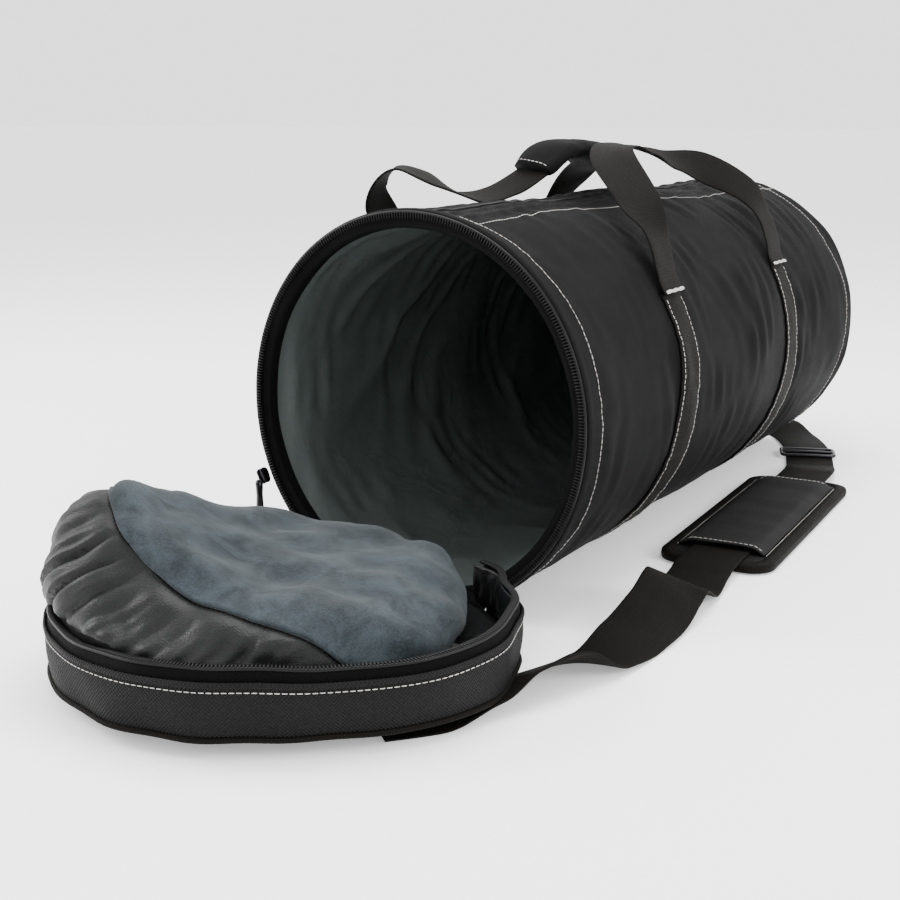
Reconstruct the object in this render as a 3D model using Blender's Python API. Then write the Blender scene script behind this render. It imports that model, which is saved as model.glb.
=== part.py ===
"""Telescope carry case: a padded tube bag lying on its flat base, with its end flap open.

Metres, +Z up.  The origin is the centre of the flat base.  +Y runs along the bag to its closed
rear end, the mouth faces -Y, and the shoulder strap lies on the +X side.
"""
import math

import bpy
import bmesh
from mathutils import Matrix, Vector

# Driving dimensions
BODY_RADIUS = 0.1515          # outside of the tube's fabric shell
AXIS_HEIGHT = 0.149           # the tube's axis above its flat base
MOUTH_Y = -0.345              # plane of the mouth's bound edge
REAR_Y = 0.345                # plane of the rear panel's edge
FABRIC = 0.0012               # outer fabric
FOAM = 0.0090                 # padding
LINING = 0.0009               # inner fabric
GAP = 0.0003                  # between pieces that touch
LAYER_GAP = 0.0006            # between curved layers, whose facets bow towards each other
BAND_WIDTH = 0.038            # handle webbing
BAND_THICKNESS = 0.0015
FRONT_BAND_Y = -0.155
REAR_BAND_Y = 0.122
BARTACK_ANGLE = 31.0          # where a handle leaves its band, above the horizontal
PLACKET_ANGLE = 71.3          # outer edge of the top zip's tape
SLIT_HALF_ANGLE = 6.0         # half of the slit that the top zip closes
STRAP_WIDTH = 0.050
STRAP_THICKNESS = 0.0016
FLAP_DEPTH = 0.0475           # face to rim
FLAP_FACE_CLOSED_Y = -0.397
FLAP_LIFT = 0.0105            # the open flap's face above the floor
FLAP_CUT_ANGLE = 33.5         # half of the gap in the gusset at the hinge
HINGE_SIDE_Y = -0.350         # edge of the open flap nearest the mouth
FLAP_WALL = 0.0015
PILLOW_RADIUS = 0.128
PAD_CENTRE = Vector((0.165, 0.0, 0.0))
PAD_LEAN = 0.048              # sideways run of the pad per metre along it
PAD_LENGTH = 0.300
PAD_WIDTH = 0.096
RING_WIRE = 0.0015            # wire radius of the strap rings
RING_INNER = 0.0285           # half of a ring's inside width
RING_REACH = 0.016            # between a ring's two bars
ARC_STEP = 7.5                # degrees between facets on round walls

COLOURS = {
    "black_fabric": ((0.018, 0.018, 0.020), 0.82, 0.0),
    "black_webbing": ((0.014, 0.013, 0.012), 0.70, 0.0),
    "grey_lining": ((0.085, 0.092, 0.088), 0.45, 0.0),
    "black_lining": ((0.020, 0.021, 0.023), 0.40, 0.0),
    "padding_foam": ((0.20, 0.20, 0.21), 0.95, 0.0),
    "zip_coil": ((0.012, 0.012, 0.013), 0.35, 0.0),
    "gunmetal": ((0.060, 0.060, 0.065), 0.28, 1.0),
    "pillow_nylon": ((0.090, 0.092, 0.090), 0.50, 0.0),
    "pillow_plush": ((0.150, 0.200, 0.250), 0.90, 0.0),
}

# The flap's hinge line, placed so that a quarter turn takes the face from upright to the floor
HINGE_Z = (FLAP_LIFT - FLAP_FACE_CLOSED_Y + HINGE_SIDE_Y) / 2
HINGE_Y = HINGE_SIDE_Y - HINGE_Z
FLAP_HINGE = Vector((0.0, HINGE_Y, HINGE_Z))
FLAP_OPEN = Matrix.Translation(FLAP_HINGE) @ Matrix.Rotation(math.radians(90), 4, "X")
FLAP_OPEN = FLAP_OPEN @ Matrix.Translation(-FLAP_HINGE)


def clear_scene():
    for item in list(bpy.data.objects):
        bpy.data.objects.remove(item, do_unlink=True)


def material(slot):
    """One Principled material for each object, named after its slot."""
    colour, roughness, metallic = COLOURS[slot]
    made = bpy.data.materials.new(slot)
    made.use_nodes = True
    shader = made.node_tree.nodes["Principled BSDF"]
    shader.inputs["Base Color"].default_value = (*colour, 1.0)
    shader.inputs["Roughness"].default_value = roughness
    shader.inputs["Metallic"].default_value = metallic
    return made


def add_object(name, mesh_builder, slot, pivot=None, matrix=None):
    """Make an object from a bmesh, with its origin on the pivot of the joint that moves it."""
    bmesh.ops.recalc_face_normals(mesh_builder, faces=mesh_builder.faces)
    if matrix is not None:
        bmesh.ops.transform(mesh_builder, matrix=matrix, verts=mesh_builder.verts)
    origin = pivot.location if pivot else Vector()
    bmesh.ops.translate(mesh_builder, vec=-origin, verts=mesh_builder.verts)
    mesh = bpy.data.meshes.new(name)
    mesh_builder.to_mesh(mesh)
    mesh_builder.free()
    mesh.shade_smooth()
    mesh.set_sharp_from_angle(angle=math.radians(35))
    made = bpy.data.objects.new(name, mesh)
    bpy.context.collection.objects.link(made)
    made.data.materials.append(material(slot))
    if pivot:
        made.parent = pivot
    return made


def add_pivot(name, place):
    """An empty on a joint's axis; the pieces that move with the joint are its children."""
    empty = bpy.data.objects.new(name, None)
    empty.location = place
    bpy.context.collection.objects.link(empty)
    return empty


def loft(rings, closed=False):
    """Skin a row of equal rings; capped at both ends, or joined end to end when closed."""
    made = bmesh.new()
    rows = [[made.verts.new(point) for point in ring] for ring in rings]
    count = len(rows[0])
    pairs = list(zip(rows, rows[1:]))
    if closed:
        pairs.append((rows[-1], rows[0]))
    for first, second in pairs:
        for i in range(count):
            j = (i + 1) % count
            made.faces.new((first[i], first[j], second[j], second[i]))
    if not closed:
        made.faces.new(rows[0])
        made.faces.new(rows[-1])
    return made


def on_tube(radius, degrees, y):
    """A point at an angle round the tube's axis, held above the flat base."""
    angle = math.radians(degrees)
    height = AXIS_HEIGHT + radius * math.sin(angle)
    return Vector((radius * math.cos(angle), y, max(height, BODY_RADIUS - radius)))


def facet_angles(start, end):
    """The two ends and every whole facet angle between, so that nested layers share facets."""
    first = math.floor(start / ARC_STEP + 0.05) + 1
    last = math.ceil(end / ARC_STEP - 0.05) - 1
    return [start] + [ARC_STEP * i for i in range(first, last + 1)] + [end]


def arc_wall(inner, outer, y0, y1, start, end):
    """A curved wall between two radii and two Y planes, from one angle to another."""
    rings = []
    for degrees in facet_angles(start, end):
        rings.append([on_tube(inner, degrees, y0), on_tube(outer, degrees, y0),
                      on_tube(outer, degrees, y1), on_tube(inner, degrees, y1)])
    return loft(rings)


def full_wall(inner, outer, y0, y1):
    """A curved wall that goes all the way round."""
    steps = round(360 / ARC_STEP)
    rings = []
    for i in range(steps):
        degrees = 360 * i / steps
        rings.append([on_tube(inner, degrees, y0), on_tube(outer, degrees, y0),
                      on_tube(outer, degrees, y1), on_tube(inner, degrees, y1)])
    return loft(rings, closed=True)


def round_bead(radius, bead, y, start=None, end=None, sides=6):
    """A round bead that follows the tube's outline, all round or between two angles."""
    whole = start is None
    rings = []
    for degrees in (facet_angles(0.0, 360.0)[:-1] if whole else facet_angles(start, end)):
        ring = []
        for k in range(sides):
            turn = 2 * math.pi * k / sides
            ring.append(on_tube(radius + bead * math.cos(turn), degrees, y + bead * math.sin(turn)))
        rings.append(ring)
    return loft(rings, closed=whole)


def disc(radius, y_front, y_back, dome=0.0):
    """A panel of the tube's outline, flat in front and domed at the back by a given rise."""
    steps = round(360 / ARC_STEP)
    levels = [(1.0, 0.0), (0.955, 0.0), (0.72, 0.72), (0.38, 1.0)] if dome else [(1.0, 0.0)]

    def outline(scale, y):
        centre = Vector((0.0, y, AXIS_HEIGHT))
        points = [on_tube(radius, 360 * i / steps, y) for i in range(steps)]
        return [centre + (point - centre) * scale for point in points]

    rings = [outline(scale, y_front + dome * rise) for scale, rise in reversed(levels)]
    rings += [outline(scale, y_back + dome * rise) for scale, rise in levels]
    return loft(rings)


def smooth_path(points, spacing):
    """Points along a Catmull-Rom curve through the given ones, about one per spacing."""
    path = []
    last = len(points) - 1
    for i in range(last):
        before = points[max(i - 1, 0)]
        start, end = points[i], points[i + 1]
        after = points[min(i + 2, last)]
        steps = max(1, round((end - start).length / spacing))
        for k in range(steps):
            t = k / steps
            path.append(0.5 * (2 * start + (end - before) * t
                               + (2 * before - 5 * start + 4 * end - after) * t * t
                               + (3 * start - before - 3 * end + after) * t * t * t))
    path.append(points[last].copy())
    return path


def ribbon(stations, width, thickness, spacing=0.016, floor=-1.0):
    """Flat webbing along stations, each a centre point and the direction across the webbing.

    No part of it goes below the floor height.
    """
    path = smooth_path([Vector(place) for place, across in stations], spacing)
    across = smooth_path([Vector(direction) for place, direction in stations], 10.0)
    counts = []
    for (start, _), (end, _) in zip(stations, stations[1:]):
        counts.append(max(1, round((Vector(end) - Vector(start)).length / spacing)))
    sides = []
    for i, steps in enumerate(counts):
        for k in range(steps):
            sides.append(across[i].lerp(across[i + 1], k / steps).normalized())
    sides.append(across[-1].normalized())
    rings = []
    for i, place in enumerate(path):
        along = (path[min(i + 1, len(path) - 1)] - path[max(i - 1, 0)]).normalized()
        side = (sides[i] - along * sides[i].dot(along)).normalized()
        out = along.cross(side)
        w, t = side * width / 2, out * thickness / 2
        ring = [place - w - t, place + w - t, place + w + t, place - w + t]
        lift = Vector((0, 0, max(0.0, floor - min(corner.z for corner in ring))))
        rings.append([corner + lift for corner in ring])
    return loft(rings)


def block(low, high):
    """A rectangular block between two corners."""
    (x0, y0, z0), (x1, y1, z1) = low, high
    rings = [[Vector((x, y0, z0)), Vector((x, y1, z0)), Vector((x, y1, z1)), Vector((x, y0, z1))]
             for x in (x0, x1)]
    return loft(rings)


def frame_of(origin, along, across):
    """A placing matrix whose X runs along, Y across and Z out of a flat piece."""
    x = Vector(along).normalized()
    y = Vector(across).normalized()
    return Matrix.Translation(origin) @ Matrix((x, y, x.cross(y))).transposed().to_4x4()


def wire_ring(sides=6):
    """A rectangular wire ring in its own plane: its fixed bar on the Y axis, reaching along X."""
    corner = 0.003
    half = RING_INNER + RING_WIRE
    centres = [(corner, half - corner, 90), (RING_REACH - corner, half - corner, 0),
               (RING_REACH - corner, -half + corner, 270), (corner, -half + corner, 180)]
    rings = []
    for x, y, start in centres:
        for k in range(3):
            turn = math.radians(start + 90 - 45 * k)
            out = Vector((math.cos(turn), math.sin(turn), 0.0))
            middle = Vector((x, y, 0.0)) + out * corner
            ring = []
            for s in range(sides):
                swing = 2 * math.pi * s / sides
                ring.append(middle + out * RING_WIRE * math.cos(swing)
                            + Vector((0, 0, RING_WIRE * math.sin(swing))))
            rings.append(ring)
    return loft(rings, closed=True)


def webbing_loop(lower_run, upper_run, thickness, width):
    """Webbing folded round a bar on the Y axis, with both ends running along -X."""
    reach = RING_WIRE + 0.0004 + thickness / 2
    path = [Vector((-lower_run, 0, -reach)), Vector((-lower_run / 2, 0, -reach))]
    for k in range(7):
        turn = math.radians(-90 + 30 * k)
        path.append(Vector((reach * math.cos(turn), 0, reach * math.sin(turn))))
    path += [Vector((-upper_run / 2, 0, reach)), Vector((-upper_run, 0, reach))]
    rings = []
    for i, place in enumerate(path):
        along = (path[min(i + 1, len(path) - 1)] - path[max(i - 1, 0)]).normalized()
        out = along.cross(Vector((0, 1, 0)))
        w, t = Vector((0, width / 2, 0)), out * thickness / 2
        rings.append([place - w - t, place + w - t, place + w + t, place - w + t])
    return loft(rings)


def build_tube():
    """The tube's shell, padding, lining, sewn bands and rear end."""
    shell_inner = BODY_RADIUS - FABRIC
    foam_outer = shell_inner - LAYER_GAP
    foam_inner = foam_outer - FOAM
    lining_outer = foam_inner - LAYER_GAP
    lining_inner = lining_outer - LINING
    front, rear = MOUTH_Y + 0.0100, REAR_Y - 0.0020
    base_half = 0.0272
    add_object("base_panel", block((-base_half, front, 0.0), (base_half, rear, FABRIC)),
               "black_fabric")
    shell = arc_wall(shell_inner, BODY_RADIUS, front, rear, -79.0, PLACKET_ANGLE - 0.3)
    add_object("shell_panel_right", shell, "black_fabric")
    shell = arc_wall(shell_inner, BODY_RADIUS, front, rear, 180.3 - PLACKET_ANGLE, 259.0)
    add_object("shell_panel_left", shell, "black_fabric")
    slit_start, slit_end = 90.0 + SLIT_HALF_ANGLE, 450.0 - SLIT_HALF_ANGLE
    wrap = arc_wall(foam_inner, foam_outer, front, rear, slit_start, slit_end)
    add_object("foam_wrap", wrap, "padding_foam")
    wrap = arc_wall(lining_inner, lining_outer, front, rear, slit_start, slit_end)
    add_object("lining_tube", wrap, "grey_lining")
    for side, turn in (("right", 1), ("left", -1)):
        for place, y in (("front", FRONT_BAND_Y), ("rear", REAR_BAND_Y)):
            ends = sorted(90 - turn * (90 - a) for a in (-72.0, BARTACK_ANGLE))
            band = arc_wall(BODY_RADIUS + LAYER_GAP, BODY_RADIUS + LAYER_GAP + BAND_THICKNESS,
                            y - BAND_WIDTH / 2, y + BAND_WIDTH / 2, *ends)
            add_object(f"{place}_band_{side}", band, "black_webbing")
    inside = lining_inner - LAYER_GAP
    add_object("rear_lining", disc(inside, rear - 0.0111, rear - 0.0102), "grey_lining")
    add_object("rear_foam", disc(inside, rear - 0.0099, rear), "padding_foam")
    add_object("rear_panel", disc(BODY_RADIUS, REAR_Y - 0.0017, REAR_Y - 0.0003, dome=0.004),
               "black_fabric")
    add_object("rear_piping", round_bead(BODY_RADIUS - 0.0024, 0.0022, REAR_Y + 0.0024),
               "black_webbing")


def build_mouth():
    """The mouth's bound edge, its zip coil, and the slider that runs round it."""
    bound_inner = BODY_RADIUS - FABRIC - FOAM - LINING - 3 * LAYER_GAP
    add_object("mouth_binding", full_wall(bound_inner, BODY_RADIUS, MOUTH_Y + 0.0003,
                                          MOUTH_Y + 0.0097), "black_webbing")
    coil = round_bead(BODY_RADIUS - 0.0025, 0.0016, MOUTH_Y - 0.0016, -57.0, 237.0)
    add_object("mouth_zip_coil", coil, "zip_coil")
    tube_axis = add_pivot("mouth_zip_axis", Vector((0.0, MOUTH_Y, AXIS_HEIGHT)))
    park = 205.0
    low, high = BODY_RADIUS + 0.0007, BODY_RADIUS + 0.0077
    slider = arc_wall(low, high, MOUTH_Y - 0.0095, MOUTH_Y + 0.0055, park - 2.4, park + 2.4)
    add_object("mouth_zip_slider", slider, "gunmetal", tube_axis)
    hang = on_tube(BODY_RADIUS + 0.0105, park + 1.2, MOUTH_Y - 0.002)
    pull_pivot = add_pivot("mouth_pull_axis", hang)
    x, y, z = hang
    pull = block((x - 0.0009, y - 0.003, z - 0.030), (x + 0.0009, y + 0.003, z + 0.0015))
    add_object("mouth_zip_pull", pull, "gunmetal", pull_pivot)


def build_top_zip():
    """The zip along the top: two tapes, the closed coil, its stop tab, slider and pull."""
    front, rear = MOUTH_Y + 0.0100, REAR_Y - 0.0020
    tape_inner = BODY_RADIUS - FABRIC
    tape_outer = BODY_RADIUS + 0.0005
    for side, turn in (("right", 1), ("left", -1)):
        ends = sorted(90 - turn * (90 - a) for a in (PLACKET_ANGLE, 88.3))
        tape = arc_wall(tape_inner, tape_outer, front, rear, *ends)
        add_object(f"top_zip_tape_{side}", tape, "black_fabric")
    crown = AXIS_HEIGHT + BODY_RADIUS
    coil_end = REAR_Y - 0.026
    add_object("top_zip_coil", block((-0.0036, front, crown - 0.0022), (0.0036, coil_end, crown)),
               "zip_coil")
    tab = block((-0.013, coil_end + 0.001, crown + 0.0009), (0.013, rear, crown + 0.0025))
    add_object("top_zip_end_tab", tab, "black_webbing")
    start_y = coil_end - 0.010
    slider_pivot = add_pivot("top_slider_axis", Vector((0.0, start_y, crown + 0.004)))
    slider = block((-0.0058, start_y - 0.009, crown + 0.0011), (0.0058, start_y + 0.009,
                                                                crown + 0.0072))
    add_object("top_zip_slider", slider, "gunmetal", slider_pivot)
    pull_pivot = add_pivot("top_pull_axis", Vector((0.0, start_y - 0.0112, crown + 0.0052)))
    x, y, z = pull_pivot.location
    pull = block((-0.0035, y - 0.028, z - 0.0009), (0.0035, y + 0.0015, z + 0.0009))
    add_object("top_zip_pull", pull, "gunmetal", pull_pivot)


def handle_stations(side):
    """The route of a handle from its front bartack over the top to its rear bartack."""
    y0, y1 = FRONT_BAND_Y, REAR_BAND_Y
    foot = (0.1325, 0.2310)
    if side == "right":
        return [((foot[0], y0, foot[1]), (0, 1, 0)), ((0.1315, y0, 0.244), (0, 1, 0)),
                ((0.120, y0 + 0.006, 0.268), (0, 1, 0)),
                ((0.083, y0 + 0.026, 0.306), (0.3, 1, 0)), ((0.045, -0.088, 0.334), (0.7, 0.8, 0)),
                ((0.030, -0.045, 0.343), (1, 0.3, 0)), ((0.030, 0.005, 0.340), (1, 0, 0)),
                ((0.040, 0.050, 0.331), (1, -0.4, 0)), ((0.066, 0.090, 0.322), (0.7, -0.8, 0)),
                ((0.102, 0.113, 0.296), (0.3, -1, 0)), ((0.122, y1, 0.268), (0, -1, 0)),
                ((0.1315, y1, 0.244), (0, -1, 0)), ((foot[0], y1, foot[1]), (0, -1, 0))]
    return [((-foot[0], y0, foot[1]), (0, 1, 0)), ((-0.1330, y0, 0.244), (0, 1, 0)),
            ((-0.133, -0.172, 0.268), (0, 1, 0)),
            ((-0.122, -0.205, 0.302), (-0.2, 1, 0)), ((-0.100, -0.196, 0.326), (-0.4, 0.9, 0)),
            ((-0.074, -0.150, 0.318), (-0.8, 0.5, 0)), ((-0.045, -0.110, 0.329), (-1, 0.1, 0)),
            ((-0.024, -0.060, 0.336), (-1, 0, 0)), ((-0.022, 0.000, 0.334), (-1, 0, 0)),
            ((-0.040, 0.050, 0.325), (-1, -0.4, 0)), ((-0.075, 0.092, 0.312), (-0.6, -0.8, 0)),
            ((-0.114, 0.116, 0.280), (-0.2, -1, 0)), ((-0.1320, y1, 0.246), (0, -1, 0)),
            ((-foot[0], y1, foot[1]), (0, -1, 0))]


def build_handles():
    """Two carrying handles over the top, the left one with a padded grip wrap."""
    for side, turn in (("right", 1), ("left", -1)):
        pivot = add_pivot(f"{side}_handle_axis", Vector((turn * 0.1325, 0.0, 0.2285)))
        webbing = ribbon(handle_stations(side), BAND_WIDTH, BAND_THICKNESS, spacing=0.014)
        add_object(f"{side}_handle_webbing", webbing, "black_webbing", pivot)
        if side == "left":
            left_pivot = pivot
    path = smooth_path([Vector(p) for p, _ in handle_stations("left")][6:10], 0.012)
    rings = []
    start = BAND_THICKNESS / 2 + 0.0034
    top = start + 0.0040
    for i, place in enumerate(path):
        along = (path[min(i + 1, len(path) - 1)] - path[max(i - 1, 0)]).normalized()
        side = (Vector((1, 0, 0)) - along * along.x).normalized()
        up = side.cross(along)
        up = up if up.z > 0 else -up
        rings.append([place - side * 0.0215 + up * start, place + side * 0.0215 + up * start,
                      place + side * 0.0170 + up * top, place - side * 0.0170 + up * top])
    add_object("handle_grip_wrap", loft(rings[1:-1]), "black_fabric", left_pivot)


def build_flap(pivot):
    """The end flap, modelled closed against the mouth and then turned open."""
    face = FLAP_FACE_CLOSED_Y
    rim = face + FLAP_DEPTH
    outer = BODY_RADIUS - 0.0003
    inner = outer - FLAP_WALL
    start, end = -90 + FLAP_CUT_ANGLE, 270 - FLAP_CUT_ANGLE
    panel = disc(outer, face, face + 0.0015)
    add_object("flap_panel", panel, "black_fabric", pivot, FLAP_OPEN)
    piping = round_bead(outer - 0.0012, 0.0012, face + 0.0030, start, end)
    add_object("flap_piping", piping, "black_webbing", pivot, FLAP_OPEN)
    gusset = arc_wall(inner, outer, face + 0.0045, rim - 0.0125, start, end)
    add_object("flap_gusset", gusset, "black_fabric", pivot, FLAP_OPEN)
    tape = arc_wall(inner, outer, rim - 0.0122, rim - 0.0034, start, end)
    add_object("flap_zip_tape", tape, "black_webbing", pivot, FLAP_OPEN)
    coil = round_bead(outer - 0.0016, 0.0015, rim - 0.0016, start, end)
    add_object("flap_zip_coil", coil, "zip_coil", pivot, FLAP_OPEN)
    skin = arc_wall(inner - GAP - 0.0008, inner - GAP, face + 0.0105, rim - 0.0040, start, end)
    add_object("flap_gusset_lining", skin, "black_lining", pivot, FLAP_OPEN)
    pad_radius = inner - 0.0030
    add_object("flap_foam", disc(pad_radius, face + 0.0018, face + 0.0090), "padding_foam",
               pivot, FLAP_OPEN)
    add_object("flap_lining", disc(pad_radius, face + 0.0093, face + 0.0101), "black_lining",
               pivot, FLAP_OPEN)
    strip = block((-0.055, face + 0.0018, GAP), (0.055, face + 0.0265, 0.0018))
    add_object("flap_hinge_strip", strip, "black_fabric", pivot, FLAP_OPEN)


def pillow_top(x, y):
    """Height of the pillow's top surface: high at the far left, pressed down to the mouth."""
    far = min(1.0, max(0.0, (-y - 0.40) / 0.22))
    left = min(1.0, max(0.0, (0.10 - x) / 0.22))
    return 0.066 + 0.034 * far * (0.35 + 0.65 * left)


def build_pillow(pivot):
    """The loose pillow that fills the flap: a nylon cover with a plush top panel."""
    centre = Vector((0.0, HINGE_SIDE_Y - AXIS_HEIGHT - 0.006, 0.0))
    floor = FLAP_LIFT + 0.0104
    steps = 32
    plush = 0.0060

    def ring(radius, height):
        points = []
        for i in range(steps):
            turn = 2 * math.pi * i / steps
            x = centre.x + radius * math.cos(turn)
            y = centre.y + radius * math.sin(turn)
            z = height if height is not None else pillow_top(x, y)
            points.append(Vector((x, y, z)))
        return points

    def lifted(points, rise):
        return [point + Vector((0, 0, rise)) for point in points]

    waist = [point.lerp(low, 0.45) for point, low in
             zip(ring(PILLOW_RADIUS, None), ring(PILLOW_RADIUS, floor))]
    seam = ring(PILLOW_RADIUS * 0.90, None)
    inner_rings = [ring(PILLOW_RADIUS * scale, None) for scale in (0.60, 0.28)]
    body = [ring(PILLOW_RADIUS * 0.30, floor), ring(PILLOW_RADIUS * 0.90, floor),
            ring(PILLOW_RADIUS, floor + 0.010), waist]
    cover = loft(body + [lifted(points, -plush - 4 * GAP) for points in [seam] + inner_rings])
    add_object("pillow_cover", cover, "pillow_nylon", pivot)
    rows = [lifted(points, -plush) for points in reversed([seam] + inner_rings)]
    top = loft(rows + [ring(PILLOW_RADIUS * 0.84, None)] + inner_rings)
    add_object("pillow_plush", top, "pillow_plush", pivot)


def build_strap_end(prefix, matrix, tab_run, strap_run, thickness, pivots):
    """A sewn tab, the ring that swings in it, and the strap's folded end in the ring."""
    fixed, swinging = pivots
    tab = webbing_loop(tab_run, tab_run, thickness, STRAP_WIDTH - 0.002)
    add_object(f"{prefix}_ring_tab", tab, "black_webbing", fixed, matrix)
    add_object(f"{prefix}_ring", wire_ring(), "gunmetal", swinging, matrix)
    turned = matrix @ Matrix.Translation((RING_REACH, 0, 0)) @ Matrix.Rotation(math.pi, 4, "Z")
    end = webbing_loop(strap_run, strap_run * 0.75, thickness, STRAP_WIDTH)
    add_object(f"{prefix}_strap_end", end, "black_webbing", swinging, turned)


def build_strap():
    """The shoulder strap on the floor beside the bag, its adjuster and its pad."""
    level = STRAP_THICKNESS / 2 + GAP
    lean = Vector((-PAD_LEAN, 1.0, 0.0)).normalized()
    across = Vector((lean.y, -lean.x, 0.0))
    pad_half = PAD_LENGTH / 2
    strap_rise = 0.0092

    def laid(x, y, turn=0.0, tilt=0.0, lift=0.0):
        """A station on the floor: the webbing turned in plan, and tilted up on its edge."""
        turn, tilt = math.radians(turn), math.radians(tilt)
        height = level + lift + STRAP_WIDTH / 2 * abs(math.sin(tilt))
        side = (math.cos(turn) * math.cos(tilt), math.sin(turn) * math.cos(tilt), math.sin(tilt))
        return ((x, y, height), side)

    def in_pad(distance):
        return (PAD_CENTRE + lean * distance + Vector((0, 0, strap_rise)), across)

    main = [laid(0.1200, -0.533, -20), laid(0.1370, -0.487, -14), laid(0.1500, -0.450, -10, 20),
            laid(0.1620, -0.410, -6, 48), laid(0.1710, -0.368, -4, 22),
            laid(0.1750, -0.312, -2, 3), laid(0.1745, -0.262, 0, 0, 0.004),
            laid(0.1735, -0.222, 1, 0, 0.014), laid(0.1728, -0.186, 2, 0, 0.011),
            in_pad(-pad_half), in_pad(0.0), in_pad(pad_half),
            laid(0.1545, 0.190, 4, 0, 0.0088), laid(0.1400, 0.240, 12),
            laid(0.1150, 0.310, 20), laid(0.0840, 0.365, 34), laid(0.0520, 0.396, 55, 12),
            ((0.0240, 0.406, 0.040), (0.35, 0.75, 0.45)),
            ((0.0060, 0.394, 0.066), (0.95, 0.20, 0.10)),
            ((0.0, 0.3720, 0.094), (1, 0, 0)), ((0.0, 0.3590, 0.123), (1, 0, 0))]
    webbing = ribbon(main, STRAP_WIDTH, STRAP_THICKNESS, spacing=0.018, floor=GAP)
    add_object("shoulder_strap", webbing, "black_webbing")
    place_on_pad = frame_of(PAD_CENTRE, lean, -across)
    pad_pivot = add_pivot("shoulder_pad_axis", PAD_CENTRE)
    base = rounded_slab(PAD_LENGTH, PAD_WIDTH, 0.020, GAP, 0.0080)
    add_object("shoulder_pad_base", base, "black_fabric", pad_pivot, place_on_pad)
    rise, wall = 0.0104, 0.031
    section = [(-wall - 0.005, 0.0083), (-wall, 0.0083), (-wall, rise), (wall, rise),
               (wall, 0.0083), (wall + 0.005, 0.0083), (wall + 0.005, rise + 0.0015),
               (wall, rise + 0.0028), (-wall, rise + 0.0028), (-wall - 0.005, rise + 0.0015)]
    reach = PAD_LENGTH / 2 - 0.028
    sleeve = loft([[Vector((x, y, z)) for y, z in section] for x in (-reach, reach)])
    add_object("shoulder_pad_sleeve", sleeve, "black_fabric", pad_pivot, place_on_pad)
    direction = Vector((-0.36, 0.93, 0.0)).normalized()
    centre = Vector((0.1240, 0.2830, 0.0))
    sideways = Vector((-direction.y, direction.x, 0.0))
    adjuster_pivot = add_pivot("strap_adjuster_axis", centre)
    adjuster = adjuster_frame(level + STRAP_THICKNESS / 2 + 0.0006)
    add_object("strap_adjuster", adjuster, "gunmetal", adjuster_pivot,
               frame_of(centre, direction, sideways))


def rounded_slab(length, width, corner, bottom, top):
    """A slab with rounded corners and slightly drawn-in edges, centred on the Z axis."""
    outline = []
    for x, y, start in ((1, 1, 0), (-1, 1, 90), (-1, -1, 180), (1, -1, 270)):
        for k in range(5):
            turn = math.radians(start + 22.5 * k)
            outline.append((x * (length / 2 - corner) + corner * math.cos(turn),
                            y * (width / 2 - corner) + corner * math.sin(turn)))
    rings = []
    for scale, z in ((0.96, bottom), (1.0, bottom + 0.002), (1.0, top - 0.002), (0.96, top)):
        rings.append([Vector((x * scale, y * scale, z)) for x, y in outline])
    return loft(rings)


def adjuster_frame(bottom):
    """A flat three-bar slide: two outer bars and a middle bar, joined by two side bars."""
    half_width, half_length, bar = 0.030, 0.017, 0.0035
    top = bottom + 0.0032
    made = bmesh.new()
    columns = [-half_length, -half_length + bar, -bar / 2, bar / 2, half_length - bar, half_length]
    rows = [-half_width, -half_width + bar, half_width - bar, half_width]
    verts = {}

    def vert(i, j, z):
        key = (i, j, z)
        if key not in verts:
            verts[key] = made.verts.new((columns[i], rows[j], z))
        return verts[key]

    solid = {(i, j) for i in range(5) for j in range(3)} - {(1, 1), (3, 1)}
    for i, j in solid:
        for z in (bottom, top):
            made.faces.new([vert(i, j, z), vert(i + 1, j, z), vert(i + 1, j + 1, z),
                            vert(i, j + 1, z)])
        edges = (((i, j), (i + 1, j), (i, j - 1)), ((i + 1, j), (i + 1, j + 1), (i + 1, j)),
                 ((i + 1, j + 1), (i, j + 1), (i, j + 1)), ((i, j + 1), (i, j), (i - 1, j)))
        for first, second, neighbour in edges:
            if neighbour not in solid:
                made.faces.new([vert(*first, bottom), vert(*second, bottom), vert(*second, top),
                                vert(*first, top)])
    return made


def main():
    clear_scene()
    build_tube()
    build_mouth()
    build_top_zip()
    build_handles()
    flap_pivot = add_pivot("flap_hinge_axis", FLAP_HINGE)
    build_flap(flap_pivot)
    build_pillow(flap_pivot)
    build_strap()
    rear_bar = Vector((0.0, REAR_Y + 0.0100, 0.215))
    rear_pivot = add_pivot("rear_ring_axis", rear_bar)
    hang = frame_of(rear_bar, (0, 0, -1), (1, 0, 0))
    build_strap_end("rear", hang, 0.042, 0.072, 0.0014, (None, rear_pivot))
    front_bar = Vector((0.0300, -0.5770, 0.0058))
    front_pivot = add_pivot("front_ring_axis", front_bar)
    lie = frame_of(front_bar, (0.924, 0.383, 0), (-0.383, 0.924, 0))
    build_strap_end("front", lie, 0.042, 0.052, 0.0012, (flap_pivot, front_pivot))


main()
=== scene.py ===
import math
from functools import reduce

import bmesh
import bpy
import numpy as np
from mathutils import Matrix, Vector
from mathutils.bvhtree import BVHTree


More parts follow.
